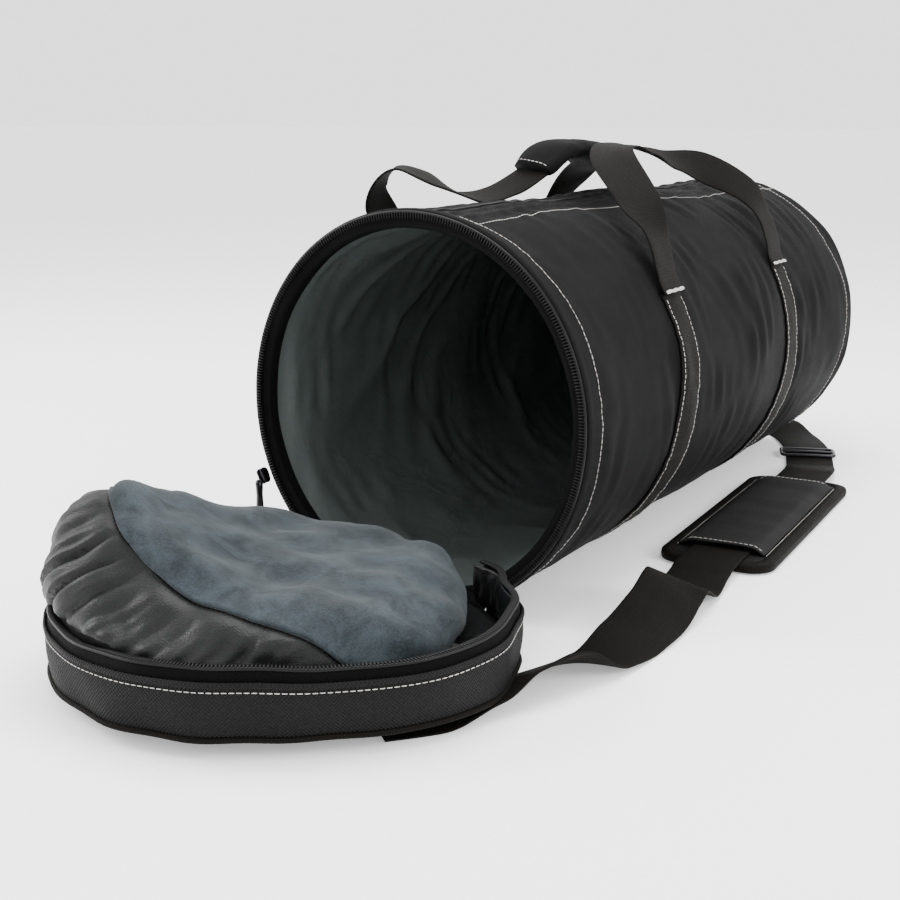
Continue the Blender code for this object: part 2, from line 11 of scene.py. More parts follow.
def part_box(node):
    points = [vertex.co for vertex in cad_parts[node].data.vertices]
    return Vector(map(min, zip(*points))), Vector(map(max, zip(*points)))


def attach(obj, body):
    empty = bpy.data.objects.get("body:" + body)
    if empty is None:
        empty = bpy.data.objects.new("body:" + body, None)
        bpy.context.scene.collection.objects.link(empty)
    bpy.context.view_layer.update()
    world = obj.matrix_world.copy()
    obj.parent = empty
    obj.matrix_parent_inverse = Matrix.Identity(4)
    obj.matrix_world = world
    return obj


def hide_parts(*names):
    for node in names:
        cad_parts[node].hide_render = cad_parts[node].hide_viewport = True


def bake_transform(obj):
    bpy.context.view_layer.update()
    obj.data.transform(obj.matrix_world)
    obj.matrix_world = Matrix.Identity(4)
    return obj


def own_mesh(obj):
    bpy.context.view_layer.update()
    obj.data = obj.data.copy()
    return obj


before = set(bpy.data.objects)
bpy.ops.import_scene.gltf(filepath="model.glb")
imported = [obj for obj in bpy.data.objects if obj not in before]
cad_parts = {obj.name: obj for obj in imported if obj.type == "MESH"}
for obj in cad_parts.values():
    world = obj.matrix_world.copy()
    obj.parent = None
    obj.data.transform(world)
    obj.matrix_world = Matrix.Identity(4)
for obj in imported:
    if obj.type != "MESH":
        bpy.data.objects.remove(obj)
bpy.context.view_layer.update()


def centre_of(node_name):
    low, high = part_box(node_name)
    return (np.array(low) + np.array(high)) / 2


# Places and sizes read from the frame
TUBE_LOW, TUBE_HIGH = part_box("mouth_binding")
RADIUS = TUBE_HIGH.x
AXIS_Z = TUBE_HIGH.z - RADIUS
MOUTH_Y = TUBE_LOW.y
REAR_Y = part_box("shell_panel_right")[1].y + 0.0017
FRONT_BAND_Y, REAR_BAND_Y = (centre_of(f"{place}_band_right")[1] for place in ("front", "rear"))
BAND_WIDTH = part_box("front_band_right")[1].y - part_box("front_band_right")[0].y
FLAP_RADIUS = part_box("flap_gusset")[1].x
FLAP_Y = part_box("flap_gusset")[0].y + FLAP_RADIUS
FLAP_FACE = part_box("flap_panel")[0].z
FLAP_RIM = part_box("flap_zip_coil")[1].z
TAPE_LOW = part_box("flap_zip_tape")[0].z
PILLOW_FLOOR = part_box("pillow_cover")[0].z
PAD_CENTRE = centre_of("shoulder_pad_base")

# Sizes that only the looks need
HALF_WIDTH = 0.1492           # the slack tube is a little narrower than tall
MOUTH_HALF_WIDTH = 0.1470
HALF_HEIGHT = 0.1525
FABRIC = 0.0012
LINING_CLOTH = 0.0008
FLOOR = 0.0006                # how near the floor the tube's fabric comes
CREASE = 0.006                # reach of the rounded crease where the tube meets the floor
STITCH_LENGTH = 0.0033
STITCH_PITCH = 0.0044
STITCH_WIDTH = 0.00062
STITCH_LIFT = 0.0003
TOOTH_PITCH = 0.0023
BAND_FOOT = 31.0              # degrees above the horizontal where a handle leaves its band
BAND_END = -72.0
SEAM_ENDS = -62.0, 242.0
ZIP_ENDS = -57.0, 237.0
STRAP_WIDTH = 0.050
STRAP_THICKNESS = 0.0018
WIRE = 0.0016                 # radius of the rings' wire
PAD_LENGTH = 0.300
PAD_WIDTH = 0.096
PAD_CORNER = 0.020
PAD_ALONG = Vector((-0.048, 1.0, 0.0)).normalized()
UP = (0.0, 0.0, 1.0)


# ---------------------------------------------------------------- fields and curves

def ripples(seed, shortest, longest, heading=None, spread=0.25, count=8):
    """A repeatable field of soft waves over a surface measured in metres."""
    chance = np.random.default_rng(seed)
    lengths = chance.uniform(shortest, longest, count)
    turns = chance.uniform(0, math.pi, count)
    if heading is not None:
        turns = heading + chance.normal(0, spread, count)
    phases = chance.uniform(0, 2 * math.pi, count)

    def height(u, v):
        total = 0.0
        for length, turn, phase in zip(lengths, turns, phases):
            along = u * math.cos(turn) + v * math.sin(turn)
            total = total + np.sin(2 * math.pi * along / length + phase)
        return total / math.sqrt(count)

    return height


def ease(value, low, high):
    """0 below low, 1 above high, and smooth between."""
    t = np.clip((value - low) / (high - low), 0.0, 1.0)
    return t * t * (3 - 2 * t)


def near(value, centre, width):
    """A bell-shaped weight of 1 at the centre."""
    return np.exp(-((value - centre) / width) ** 2)


def near_angle(degrees, centre, width):
    return near((degrees - centre + 180.0) % 360.0 - 180.0, 0.0, width)


def above(height, floor):
    """Heights held above a floor, with a rounded crease where they meet it."""
    bend = np.maximum(CREASE - np.abs(height - floor), 0.0) / CREASE
    return np.maximum(height, floor) + bend ** 2 * CREASE / 4


def unit(vectors):
    vectors = np.asarray(vectors, float)
    return vectors / np.maximum(np.linalg.norm(vectors, axis=-1, keepdims=True), 1e-12)


def squared(side, along):
    """A side direction made square to the way along."""
    return unit(side - along * (side * along).sum(1)[:, None])


def route(stations, spacing):
    """Centres and across directions along a smooth curve through (centre, across) stations."""
    centres = np.array([centre for centre, _ in stations], float)
    sides = unit([side for _, side in stations])
    last = len(centres) - 1
    places, across = [], []
    for i in range(last):
        p0, p1 = centres[max(i - 1, 0)], centres[i]
        p2, p3 = centres[i + 1], centres[min(i + 2, last)]
        steps = max(1, round(np.linalg.norm(p2 - p1) / spacing))
        t = (np.arange(steps) / steps)[:, None]
        places.append(0.5 * (2 * p1 + (p2 - p0) * t + (2 * p0 - 5 * p1 + 4 * p2 - p3) * t ** 2
                             + (3 * p1 - p0 - 3 * p2 + p3) * t ** 3))
        eased = ease(t, 0.0, 1.0)
        across.append(sides[i] * (1 - eased) + sides[i + 1] * eased)
    places.append(centres[last:])
    across.append(sides[last:])
    return np.concatenate(places), unit(np.concatenate(across))


def tangents(path, closed=False):
    if closed:
        return unit(np.roll(path, -1, 0) - np.roll(path, 1, 0))
    return unit(np.gradient(path, axis=0))


def resample(path, normals, pitch):
    """Places, directions and normals at an even pitch along a path."""
    run = np.concatenate([[0], np.cumsum(np.linalg.norm(np.diff(path, axis=0), axis=1))])
    count = max(2, int(run[-1] / pitch))
    at = (np.arange(count) + 0.5) * run[-1] / count
    reach = pitch * 0.3

    def read(values, where):
        return np.stack([np.interp(where, run, values[:, k]) for k in range(3)], 1)

    ahead = unit(read(path, at + reach) - read(path, at - reach))
    return read(path, at), ahead, unit(read(normals, at))


def placing(origin, x_axis, z_axis):
    """A matrix that puts X along one direction and Z as near as it can to another."""
    x = Vector(x_axis).normalized()
    y = Vector(z_axis).cross(x).normalized()
    return Matrix.Translation(Vector(origin)) @ Matrix((x, y, x.cross(y))).transposed().to_4x4()


def moved(matrix, points):
    return np.array([matrix @ Vector(point) for point in points])


def turned(matrix, direction):
    return np.array(matrix.to_3x3() @ Vector(direction))


# ---------------------------------------------------------------- materials

class Surface:
    """A material, with short names for the shader nodes that the materials share."""

    def __init__(self, name, space="Object"):
        self.made = bpy.data.materials.new(name)
        self.made.use_nodes = True
        self.tree = self.made.node_tree
        self.place = self.node("TexCoord").outputs[space]

    def node(self, kind, settings=None, *inputs, **named):
        """Add a node; an input is a value, another node's first output, or a socket."""
        made = self.tree.nodes.new("ShaderNode" + kind)
        for key, value in (settings or {}).items():
            setattr(made, key, value)
        for key, value in list(enumerate(inputs)) + list(named.items()):
            if isinstance(value, bpy.types.Node):
                value = value.outputs[0]
            if isinstance(value, bpy.types.NodeSocket):
                self.tree.links.new(value, made.inputs[key])
            else:
                made.inputs[key].default_value = value
        return made

    def calc(self, operation, *inputs):
        return self.node("Math", {"operation": operation}, *inputs)

    def add(self, *terms):
        return reduce(lambda first, second: self.calc("ADD", first, second), terms)

    def times(self, first, second):
        return self.calc("MULTIPLY", first, second)

    def wave(self, value, period):
        return self.calc("SINE", self.times(value, 2 * math.pi / period))

    def noise(self, scale, detail=2.0, roughness=0.5, **more):
        settings = {"Vector": self.place, "Scale": scale, "Detail": detail,
                    "Roughness": roughness, **more}
        return self.node("TexNoise", None, **settings)

    def span(self, value, low, high, to_low=0.0, to_high=1.0):
        return self.node("MapRange", None, value, low, high, to_low, to_high)

    def bump(self, strength, distance, height, **under):
        return self.node("Bump", None, Strength=strength, Distance=distance, Height=height,
                         **under)

    def finish(self, tone, dark, light, gloss, relief, **values):
        """Join colour, gloss and relief to the shader, and set its plain values."""
        colour = self.node("Mix", {"data_type": "RGBA"}, tone)
        colour.inputs[6].default_value = (*dark, 1.0)
        colour.inputs[7].default_value = (*light, 1.0)
        shader = self.tree.nodes["Principled BSDF"]
        for socket, source in (("Base Color", colour.outputs[2]),
                               ("Roughness", gloss.outputs[0]), ("Normal", relief.outputs[0])):
            self.tree.links.new(source, shader.inputs[socket])
        for socket, value in values.items():
            shader.inputs[socket.replace("_", " ")].default_value = value
        return self.made


def weave(look, kind, pitch):
    """The relief of a weave, about -1 to 1, from coordinates in metres."""
    if kind == "cells":
        cells = look.node("TexVoronoi", None, Vector=look.place, Scale=0.9 / pitch,
                          Randomness=0.45)
        return look.span(cells, 0.05, 0.75, 1.0, -1.0)
    split = look.node("SeparateXYZ", None, look.place)
    along, across = split.outputs[0], split.outputs[1]
    if kind == "twill":
        ridge = look.wave(look.add(along, across), pitch)
        cut = look.wave(look.calc("SUBTRACT", along, across), pitch * 0.62)
        return look.add(ridge, look.times(cut, 0.35))
    if kind == "rib":
        rib = look.calc("ABSOLUTE", look.wave(along, pitch * 2))
        return look.add(rib, look.times(look.wave(across, pitch * 1.35), 0.30))
    return look.times(look.wave(along, pitch), look.wave(across, pitch))


def fabric(name, dark, light, rough, gloss_level, kind="plain", pitch=0.0011, relief=0.00025,
           sheen=0.003, crease=0.0, crease_scale=0.0, weave_tint=0.35):
    """Cloth with its weave, uneven colour, worn patches and fine creases."""
    look = Surface(name, "Object" if kind == "cells" else "UV")
    threads = weave(look, kind, pitch)
    patches = look.noise(14.0, 4.0, 0.6)
    grain = look.noise(420.0, 2.0, 0.7)
    lint = look.span(look.noise(900.0, 1.0, 0.4), 0.70, 0.80, 0.0, 0.5)
    tint = look.span(threads, -1.0, 1.0, 0.5 - weave_tint, 0.5 + weave_tint)
    tone = look.add(look.times(patches, 0.5), look.times(tint, 0.5),
                    look.times(look.add(grain, -0.5), 0.5), look.times(lint, 0.35))
    gloss = look.span(patches, 0.3, 0.7, rough - 0.07, rough + 0.07)
    bump = look.bump(0.85, relief, look.add(threads, look.times(grain, 0.8)))
    if crease:
        folds = look.noise(crease_scale, 4.0, 0.55, Distortion=1.2)
        bump = look.bump(0.8, crease, folds, Normal=bump)
    return look.finish(look.node("Clamp", None, tone), dark, light, gloss, bump,
                       Sheen_Weight=sheen, Sheen_Roughness=0.45, Specular_IOR_Level=gloss_level)


def plush_material(name, dark, light):
    """Short pile that lies in patches, brighter where it leans to the light."""
    look = Surface(name)
    brushed = look.noise(42.0, 6.0, 0.66, Distortion=0.7)
    pile = look.noise(700.0, 3.0, 0.8)
    # The broad patch tone from brushed is painted sheen: lighter or darker patches where the pile's
    # lean would catch or lose the light.
    tone = look.add(look.span(brushed, 0.36, 0.64, 0.0, 0.62),
                    look.span(pile, 0.35, 0.65, -0.12, 0.38))
    bump = look.bump(0.6, 0.0016, brushed, Normal=look.bump(0.9, 0.0007, pile))
    return look.finish(tone, dark, light, look.span(pile, 0.3, 0.7, 0.78, 0.98), bump,
                       Sheen_Weight=0.09, Sheen_Roughness=0.35, Specular_IOR_Level=0.2)


def foam_material(name, dark, light):
    """Open-cell foam."""
    look = Surface(name)
    cells = look.node("TexVoronoi", None, Vector=look.place, Scale=700.0)
    gloss = look.span(look.noise(90.0), 0.3, 0.7, 0.88, 1.0)
    return look.finish(cells, dark, light, gloss, look.bump(0.9, 0.0006, cells))


def metal_material(name, dark, light, rough):
    """Plated metal with fine scratches and duller handled spots."""
    look = Surface(name)
    stretched = look.node("Mapping", None, look.place, Scale=(1.0, 9.0, 1.0))
    scratches = look.noise(260.0, 4.0, 0.7, Vector=stretched)
    spots = look.noise(55.0, 3.0, 0.6)
    gloss = look.span(scratches, 0.3, 0.7, rough - 0.08, rough + 0.12)
    return look.finish(look.span(spots, 0.3, 0.7), dark, light, gloss,
                       look.bump(0.3, 0.00008, scratches), Metallic=1.0)


def nylon_solid(name, dark, light, rough, gloss_level=0.3):
    """Moulded nylon or twisted thread: small solid pieces with a fine uneven gloss."""
    look = Surface(name)
    fine, broad = look.noise(1500.0, 2.0, 0.6), look.noise(60.0, 3.0, 0.6)
    tone = look.span(look.times(look.add(fine, broad), 0.5), 0.35, 0.65)
    return look.finish(tone, dark, light, look.span(fine, 0.3, 0.7, rough - 0.08, rough + 0.10),
                       look.bump(0.5, 0.0001, fine), Specular_IOR_Level=gloss_level)


BLACK = fabric("black_polyester", (0.0010, 0.0010, 0.0011), (0.0042, 0.0042, 0.0046), 0.70, 0.05,
               relief=0.00022, crease=0.0012, crease_scale=26.0)
GUSSET = fabric("black_twill", (0.0010, 0.0010, 0.0011), (0.0150, 0.0145, 0.0145), 0.60, 0.07,
                pitch=0.0026, relief=0.00070)
TAPE = fabric("zip_tape", (0.0010, 0.0010, 0.0011), (0.0042, 0.0041, 0.0042), 0.66, 0.04,
              "twill", 0.0013)
WEBBING = fabric("webbing", (0.0010, 0.0009, 0.0008), (0.0062, 0.0054, 0.0046), 0.62, 0.04,
                 "rib", 0.0016, 0.00045, sheen=0.004)
# The grey lining's grey-green hue is its own, but its brightness is partly painted light, standing
# in for light thrown into the tube by the white telescope, which is not in the scene.
LINING = fabric("grey_lining", (0.034, 0.041, 0.039), (0.085, 0.100, 0.095), 0.38, 0.35,
                pitch=0.0012, relief=0.00010, sheen=0.0, crease=0.0016, crease_scale=22.0,
                weave_tint=0.15)
DARK_LINING = fabric("black_lining", (0.0025, 0.0027, 0.0030), (0.009, 0.0095, 0.0105), 0.32,
                     0.35, pitch=0.0012, relief=0.00010, sheen=0.0, crease=0.0020,
                     crease_scale=36.0, weave_tint=0.15)
PILLOW = fabric("pillow_nylon", (0.0050, 0.0053, 0.0053), (0.0150, 0.0155, 0.0152), 0.44, 0.12,
                "cells", 0.0013, 0.00009, sheen=0.004, crease=0.0006, crease_scale=40.0,
                weave_tint=0.40)
PLUSH = plush_material("pillow_plush", (0.0070, 0.0102, 0.0125), (0.034, 0.045, 0.052))
FOAM = foam_material("padding_foam", (0.07, 0.07, 0.075), (0.26, 0.26, 0.27))
COIL = nylon_solid("zip_coil", (0.0012, 0.0012, 0.0013), (0.0050, 0.0050, 0.0055), 0.42, 0.14)
DARK_THREAD = nylon_solid("dark_thread", (0.0012, 0.0012, 0.0012), (0.005, 0.005, 0.005), 0.60,
                          0.05)
THREAD = nylon_solid("light_thread", (0.30, 0.285, 0.265), (0.58, 0.56, 0.53), 0.60)
METAL = metal_material("gunmetal", (0.020, 0.020, 0.023), (0.060, 0.060, 0.064), 0.30)
RING_METAL = metal_material("dark_plate", (0.012, 0.012, 0.014), (0.040, 0.040, 0.044), 0.34)

# The frame's slot for each material whose own name isn't the slot's; thread has none
SLOTS = {"black_polyester": "black_fabric", "black_twill": "black_fabric",
         "zip_tape": "black_webbing", "webbing": "black_webbing", "dark_plate": "gunmetal",
         "dark_thread": None, "light_thread": None}


# ---------------------------------------------------------------- mesh builders

def finish_piece(name, mesh, material, body, replaces=(), slot=None, ride=True):
    for polygon in mesh.polygons:
        polygon.use_smooth = True
    made = bpy.data.objects.new(name, mesh)
    bpy.context.scene.collection.objects.link(made)
    made.data.materials.append(material)
    if ride:
        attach(made, body)
    if replaces:
        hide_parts(*replaces)
    kind = material.name.split(".")[0]
    slot = slot or SLOTS.get(kind, kind)
    return made


def reworked(mesh, work):
    """The mesh after bmesh work on it, with its faces turned outwards."""
    shape = bmesh.new()
    shape.from_mesh(mesh)
    work(shape)
    bmesh.ops.recalc_face_normals(shape, faces=shape.faces)
    shape.to_mesh(mesh)
    shape.free()


def face_out(mesh):
    reworked(mesh, lambda shape: None)


def close_centre(shape):
    """Fill the small hole in the middle of a disc."""
    holes = [e for e in shape.edges if e.is_boundary]
    centre = sum((e.verts[0].co for e in holes), Vector()) / len(holes)
    smallest = [e for e in holes if (e.verts[0].co - centre).length < 0.02]
    bmesh.ops.holes_fill(shape, edges=smallest, sides=0)


def metric_uv(points, closed_rows, closed_cols):
    """Texture coordinates in metres: along the rows, and across the columns."""
    rows = np.linalg.norm(np.diff(points, axis=0), axis=2).mean(1)
    cols = np.linalg.norm(np.diff(points, axis=1), axis=2).mean(0)
    u = np.concatenate([[0], np.cumsum(rows)])
    v = np.concatenate([[0], np.cumsum(cols)])
    if closed_rows:
        u = np.append(u, u[-1] + np.linalg.norm(points[0] - points[-1], axis=1).mean())
    if closed_cols:
        v = np.append(v, v[-1] + np.linalg.norm(points[:, 0] - points[:, -1], axis=1).mean())
    return np.stack(np.meshgrid(u, v, indexing="ij"), -1)


def grid_mesh(name, points, form="sheet", uv=None):
    """A mesh over a grid of points: an open sheet, a disc of rings, a capped rod or a closed ring.

    A sheet's faces look along (row direction) x (column direction).
    """
    rows, cols = points.shape[:2]
    closed_rows, closed_cols = form == "ring", form != "sheet"
    if uv is None:
        uv = metric_uv(points, closed_rows, closed_cols)
    i = np.arange(rows if closed_rows else rows - 1)
    j = np.arange(cols if closed_cols else cols - 1)
    i, j = (a.ravel() for a in np.meshgrid(i, j, indexing="ij"))
    corners = ((i, j), (i + 1, j), (i + 1, j + 1), (i, j + 1))
    faces = np.stack([(a % rows) * cols + b % cols for a, b in corners], 1)
    loops = np.stack([uv[np.minimum(a, uv.shape[0] - 1), np.minimum(b, uv.shape[1] - 1)]
                      for a, b in corners], 1).reshape(-1, 2)
    polygons = faces.tolist()
    if form == "rod":
        end = np.arange(cols)
        polygons += [list(end), list(end[::-1] + (rows - 1) * cols)]
        loops = np.vstack([loops, uv[0, :cols], uv[0, :cols]])
    mesh = bpy.data.meshes.new(name)
    mesh.from_pydata(points.reshape(-1, 3).tolist(), [], polygons)
    mesh.uv_layers.new(name="metres").data.foreach_set("uv", loops.astype(np.float32).ravel())
    if form == "disc":
        reworked(mesh, close_centre)
    elif form != "sheet":
        face_out(mesh)
    return mesh


def thicken(made, thickness, offset=-1.0):
    solid = made.modifiers.new("thickness", "SOLIDIFY")
    solid.thickness = thickness
    solid.offset = offset
    return made


def piece(name, points, material, body, form="sheet", **more):
    return finish_piece(name, grid_mesh(name, points, form), material, body, **more)


def sheet_of(name, points, material, body, thickness=FABRIC, flip=False, **more):
    """A thin fabric surface given by the grid of its outer face."""
    points = points[:, ::-1] if flip else points
    return thicken(piece(name, points, material, body, **more), thickness)


def disc(name, edge, centre, axis, level, material, body, thickness, replaces, last=0.02,
         count=34, offset=-1.0, facing=True):
    """A round layer drawn in from its edge; level(plan places, share) is its height on the axis."""
    plan = [0, 3 - axis]
    share = np.linspace(1.0, last, count)[:, None]
    points = centre + (edge - centre) * share[..., None]
    points[..., axis] = level(points[..., plan[0]], points[..., plan[1]], share)
    return round_layer(name, points, points[..., plan], axis if facing else None, material, body,
                       thickness, offset, replaces)


def round_layer(name, rings, flat, facing, material, body, thickness, offset, replaces):
    """A fabric layer over rings, with flat places for its texture; facing is an axis or None."""
    mesh = grid_mesh(name, rings, "disc", np.concatenate([flat, flat[:, :1]], 1))
    if facing is not None and mesh.polygons[0].normal[facing] < 0:
        mesh.flip_normals()
    made = finish_piece(name, mesh, material, body, replaces=replaces)
    return thicken(made, thickness, offset)


def carried(path, out, side, profile):
    """The grid of a profile of (outward, sideways) offsets carried along a path."""
    profile = np.asarray(profile, float)
    return (path[:, None] + out[:, None] * profile[None, :, :1]
            + side[:, None] * profile[None, :, 1:])


def swept(name, path, out, profile, material, body, closed=False, **more):
    """A closed profile carried along a path, its outward side square to the path."""
    along = tangents(path, closed)
    out = squared(out, along)
    points = carried(path, out, np.cross(along, out), profile)
    return piece(name, points, material, body, "ring" if closed else "rod", **more)


def round_profile(radius, sides=10):
    turn = np.arange(sides) * 2 * math.pi / sides
    return np.stack([radius * np.cos(turn), radius * np.sin(turn)], 1)


def flat_profile(width, thickness):
    """Webbing seen end on, with soft selvedges: (outward, sideways)."""
    top = [(-1.0, 0.0), (-0.985, 0.7), (-0.94, 1.0), (-0.5, 1.0), (0.0, 1.0), (0.5, 1.0),
           (0.94, 1.0), (0.985, 0.7), (1.0, 0.0)]
    ring = top + [(a, -t) for a, t in reversed(top[1:-1])]
    return np.array([(t * thickness / 2, a * width / 2) for a, t in ring])


def webbing(name, stations, width, thickness, body, spacing, floor=None, **more):
    """A strap along stations of centre and across direction, held above a floor if one is given."""
    path, across = route(stations, spacing)
    along = tangents(path)
    across = squared(across, along)
    out = np.cross(across, along)
    points = carried(path, out, across, flat_profile(width, thickness))
    if floor is not None:
        points[..., 2] += np.maximum(0.0, floor - points[..., 2].min(1))[:, None]
    made = piece(name, points, WEBBING, body, "rod", **more)
    return made, points[:, 1:8].mean(1), across, out


def bar_template(length, width, height, sides=6):
    """A rounded bar along X, as points and faces."""
    levels = [(-0.5, 0.45), (-0.40, 0.88), (0.0, 1.0), (0.40, 0.88), (0.5, 0.45)]
    turn = (np.arange(sides) + 0.5) * 2 * math.pi / sides
    points = [(x * length, s * width / 2 * math.cos(a), s * height / 2 * math.sin(a))
              for x, s in levels for a in turn]
    faces = [[i + j, i + (j + 1) % sides, i + sides + (j + 1) % sides, i + sides + j]
             for i in range(0, len(points) - sides, sides) for j in range(sides)]
    ends = [list(range(sides))[::-1], list(range(len(points) - sides, len(points)))]
    return np.array(points), faces + ends


def scattered(name, template, places, along, up, material, body, **more):
    """Copies of a small solid at many places, its X along and its Z up, as one piece."""
    points, faces = template
    along = unit(along)
    side = unit(np.cross(up, along))
    copies = (carried(places, along, side, points[:, :2])
              + np.cross(along, side)[:, None] * points[None, :, 2:])
    every = [[n + k * len(points) for n in face] for k in range(len(places)) for face in faces]
    mesh = bpy.data.meshes.new(name)
    mesh.from_pydata(copies.reshape(-1, 3).tolist(), [], every)
    face_out(mesh)
    return finish_piece(name, mesh, material, body, **more)


def stitched(name, runs, body, pitch=STITCH_PITCH, length=STITCH_LENGTH, width=STITCH_WIDTH,
             thread=THREAD):
    """Sewn thread: short rounded stitches along each (path, normals) run."""
    parts = [resample(path, normals, pitch) for path, normals in runs]
    places, along, up = (np.concatenate([part[k] for part in parts]) for k in range(3))
    return scattered(name, bar_template(length, width, width * 0.8), places, along, up, thread,
                     body)


def run_of(line, up):
    """A stitch run along a line that faces one way."""
    return np.array(line), np.tile(up, (len(line), 1))


# ---------------------------------------------------------------- the tube's skin

BAND_EDGES = [y + side * BAND_WIDTH / 2 for y in (FRONT_BAND_Y, REAR_BAND_Y) for side in (-1, 1)]
FRONT_SEAM_Y = MOUTH_Y + 0.024
REAR_SEAM_Y = REAR_Y - 0.034
SLACK = ripples(1, 0.13, 0.30)
FOLDS = ripples(2, 0.020, 0.048, heading=math.pi / 2, spread=0.30)
FOLD_PATCH = ripples(3, 0.10, 0.22)
PUCKER = ripples(4, 0.010, 0.019, heading=0.0, spread=0.2)
DRAPE = ripples(5, 0.030, 0.070, heading=math.pi / 2, spread=0.55)


def skin_rise(degrees, y):
    """How far the slack fabric stands out from the plain tube."""
    degrees = (np.asarray(degrees, float) + 90.0) % 360.0 - 90.0
    arc = np.radians(degrees) * RADIUS
    rise = 0.0016 * SLACK(arc, y)
    rise = rise + 0.0008 * FOLDS(arc, y) * ease(FOLD_PATCH(arc, y), -0.4, 0.8)
    rise = rise + 0.0009 * DRAPE(arc, y) * ease(FOLD_PATCH(arc + 0.3, y), -0.2, 0.9)
    for edge in (*BAND_EDGES, FRONT_SEAM_Y, REAR_SEAM_Y):
        rise = rise + 0.00022 * PUCKER(arc + edge * 9, y) * near(y, edge, 0.013)
        rise = rise - 0.0006 * near(y, edge, 0.010)
    rise = rise - 0.0040 * ease(y, REAR_Y - 0.020, REAR_Y + 0.004) ** 2
    rise = rise - 0.0022 * near(degrees, 90.0, 16.0) * ease(y, MOUTH_Y, MOUTH_Y + 0.06)
    held = ease(y, MOUTH_Y + 0.006, MOUTH_Y + 0.030)
    based = ease(np.abs(degrees - 90.0), 150.0, 178.0)
    return rise * (0.15 + 0.85 * held) * (1 - 0.9 * based)


def skin(degrees, y, lift=0.0, floor=None):
    """Points on the tube's fabric, lifted along its outward direction, and that direction."""
    degrees, y = np.broadcast_arrays(np.asarray(degrees, float), np.asarray(y, float))
    turn = np.radians(degrees)
    wide = MOUTH_HALF_WIDTH + (HALF_WIDTH - MOUTH_HALF_WIDTH) * ease(y, MOUTH_Y, MOUTH_Y + 0.10)
    out = unit(np.stack([np.cos(turn) / wide, np.zeros_like(y), np.sin(turn) / HALF_HEIGHT], -1))
    plain = np.stack([wide * np.cos(turn), y, AXIS_Z + HALF_HEIGHT * np.sin(turn)], -1)
    points = plain + out * (skin_rise(degrees, y) + lift)[..., None]
    if floor is None:
        floor = np.maximum(FLOOR - lift, 0.0003)
    points[..., 2] = above(points[..., 2], floor)
    return points, out


def placket_degrees(y):
    """Where the shell's hemmed edge runs beside the top zip."""
    edge = 0.041 + 0.008 * ease(y, MOUTH_Y, REAR_Y)
    return np.degrees(np.arccos(edge / HALF_WIDTH))


def mirrored(degrees, side):
    return degrees if side == "right" else 180.0 - degrees


def shell_half(side):
    """One side of the shell, from under the base up to its hem beside the zip."""
    y = np.linspace(MOUTH_Y + 0.004, REAR_Y, 236)[:, None]
    degrees = -90.0 + (placket_degrees(y) + 90.0) * np.linspace(0.0, 1.0, 136)
    points, _ = skin(mirrored(degrees, side), y)
    sheet_of(f"shell_{side}", points, BLACK, "root", flip=side == "left",
             replaces=[f"shell_panel_{side}"] + (["base_panel"] if side == "right" else []))
    hem_y = np.linspace(MOUTH_Y + 0.012, REAR_Y - 0.004, 160)
    hem = skin(mirrored(placket_degrees(hem_y) - 2.0, side), hem_y, STITCH_LIFT)
    stitched(f"placket_stitch_{side}", [hem], "root")


def band(place, side, y):
    """A sewn webbing band with its two rows of stitches."""
    degrees = mirrored(np.linspace(BAND_END, BAND_FOOT + 0.5, 110), side)
    rise, across = (flat_profile(BAND_WIDTH, 0.0016) + [0.0010, 0.0]).T
    points, _ = skin(degrees[:, None], y + across, rise + 0.0002)
    piece(f"{place}_web_{side}", points, WEBBING, "root", "rod",
          replaces=[f"{place}_band_{side}"])
    inset = BAND_WIDTH / 2 - 0.0028
    stitched(f"{place}_band_stitch_{side}",
             [skin(degrees[:-2], y + edge * inset, 0.0026) for edge in (-1, 1)], "root")


def inner_wall(name, depth, thickness, y0, y1, material, replaces, wrinkled=False):
    """A layer inside the shell, open along the slit under the top zip."""
    degrees = np.linspace(96.0, 444.0, 240)
    y = np.linspace(y0, y1, 150)[:, None]
    lift = np.full((len(y), len(degrees)), -depth)
    if wrinkled:
        arc = np.radians(degrees)[None, :] * RADIUS
        broad, bend = ripples(31, 0.12, 0.26), ripples(32, 0.09, 0.20)
        sharp = ripples(33, 0.085, 0.190, heading=0.9, spread=0.30, count=3)
        held = ease(y, y0 + 0.004, y0 + 0.045) * ease(y1 - y, 0.0, 0.03)
        warp = 0.016 * bend(arc, y)
        loose = np.maximum(broad(arc, y), -0.3) * 0.0028
        ridge = (1 - np.abs(sharp(arc + warp, y + warp)) * 1.3).clip(0) ** 1.2
        loose = loose + ridge * 0.0034 * (0.35 + 0.65 * ease(broad(arc + 0.3, y), -0.5, 0.8))
        lift = lift - loose * held - 0.0010 * held
    flat, out = skin(degrees, y)
    points = flat + out * lift[..., None]
    points[..., 2] = np.maximum(points[..., 2], FLOOR - lift)
    return sheet_of(name, points, material, "root", thickness, wrinkled, replaces=replaces)


def tube():
    """The shell with its bands and seams, the rear end, and the layers inside the wall."""
    for side in ("right", "left"):
        shell_half(side)
        for place, y in (("front", FRONT_BAND_Y), ("rear", REAR_BAND_Y)):
            band(place, side, y)
    for place, y in (("front", FRONT_SEAM_Y), ("rear", REAR_SEAM_Y)):
        stitched(f"{place}_seam_stitch", [skin(np.linspace(*SEAM_ENDS, 260), y, STITCH_LIFT)],
                 "root")
    rear_end()
    foam = inner_wall("padding_wrap", 0.0020, 0.0088, MOUTH_Y + 0.010, REAR_Y - 0.002, FOAM,
                      ["foam_wrap"])
    inner_wall("loose_lining", 0.0124, LINING_CLOTH, MOUTH_Y + 0.0035, REAR_Y - 0.012, LINING,
               ["lining_tube"], wrinkled=True)


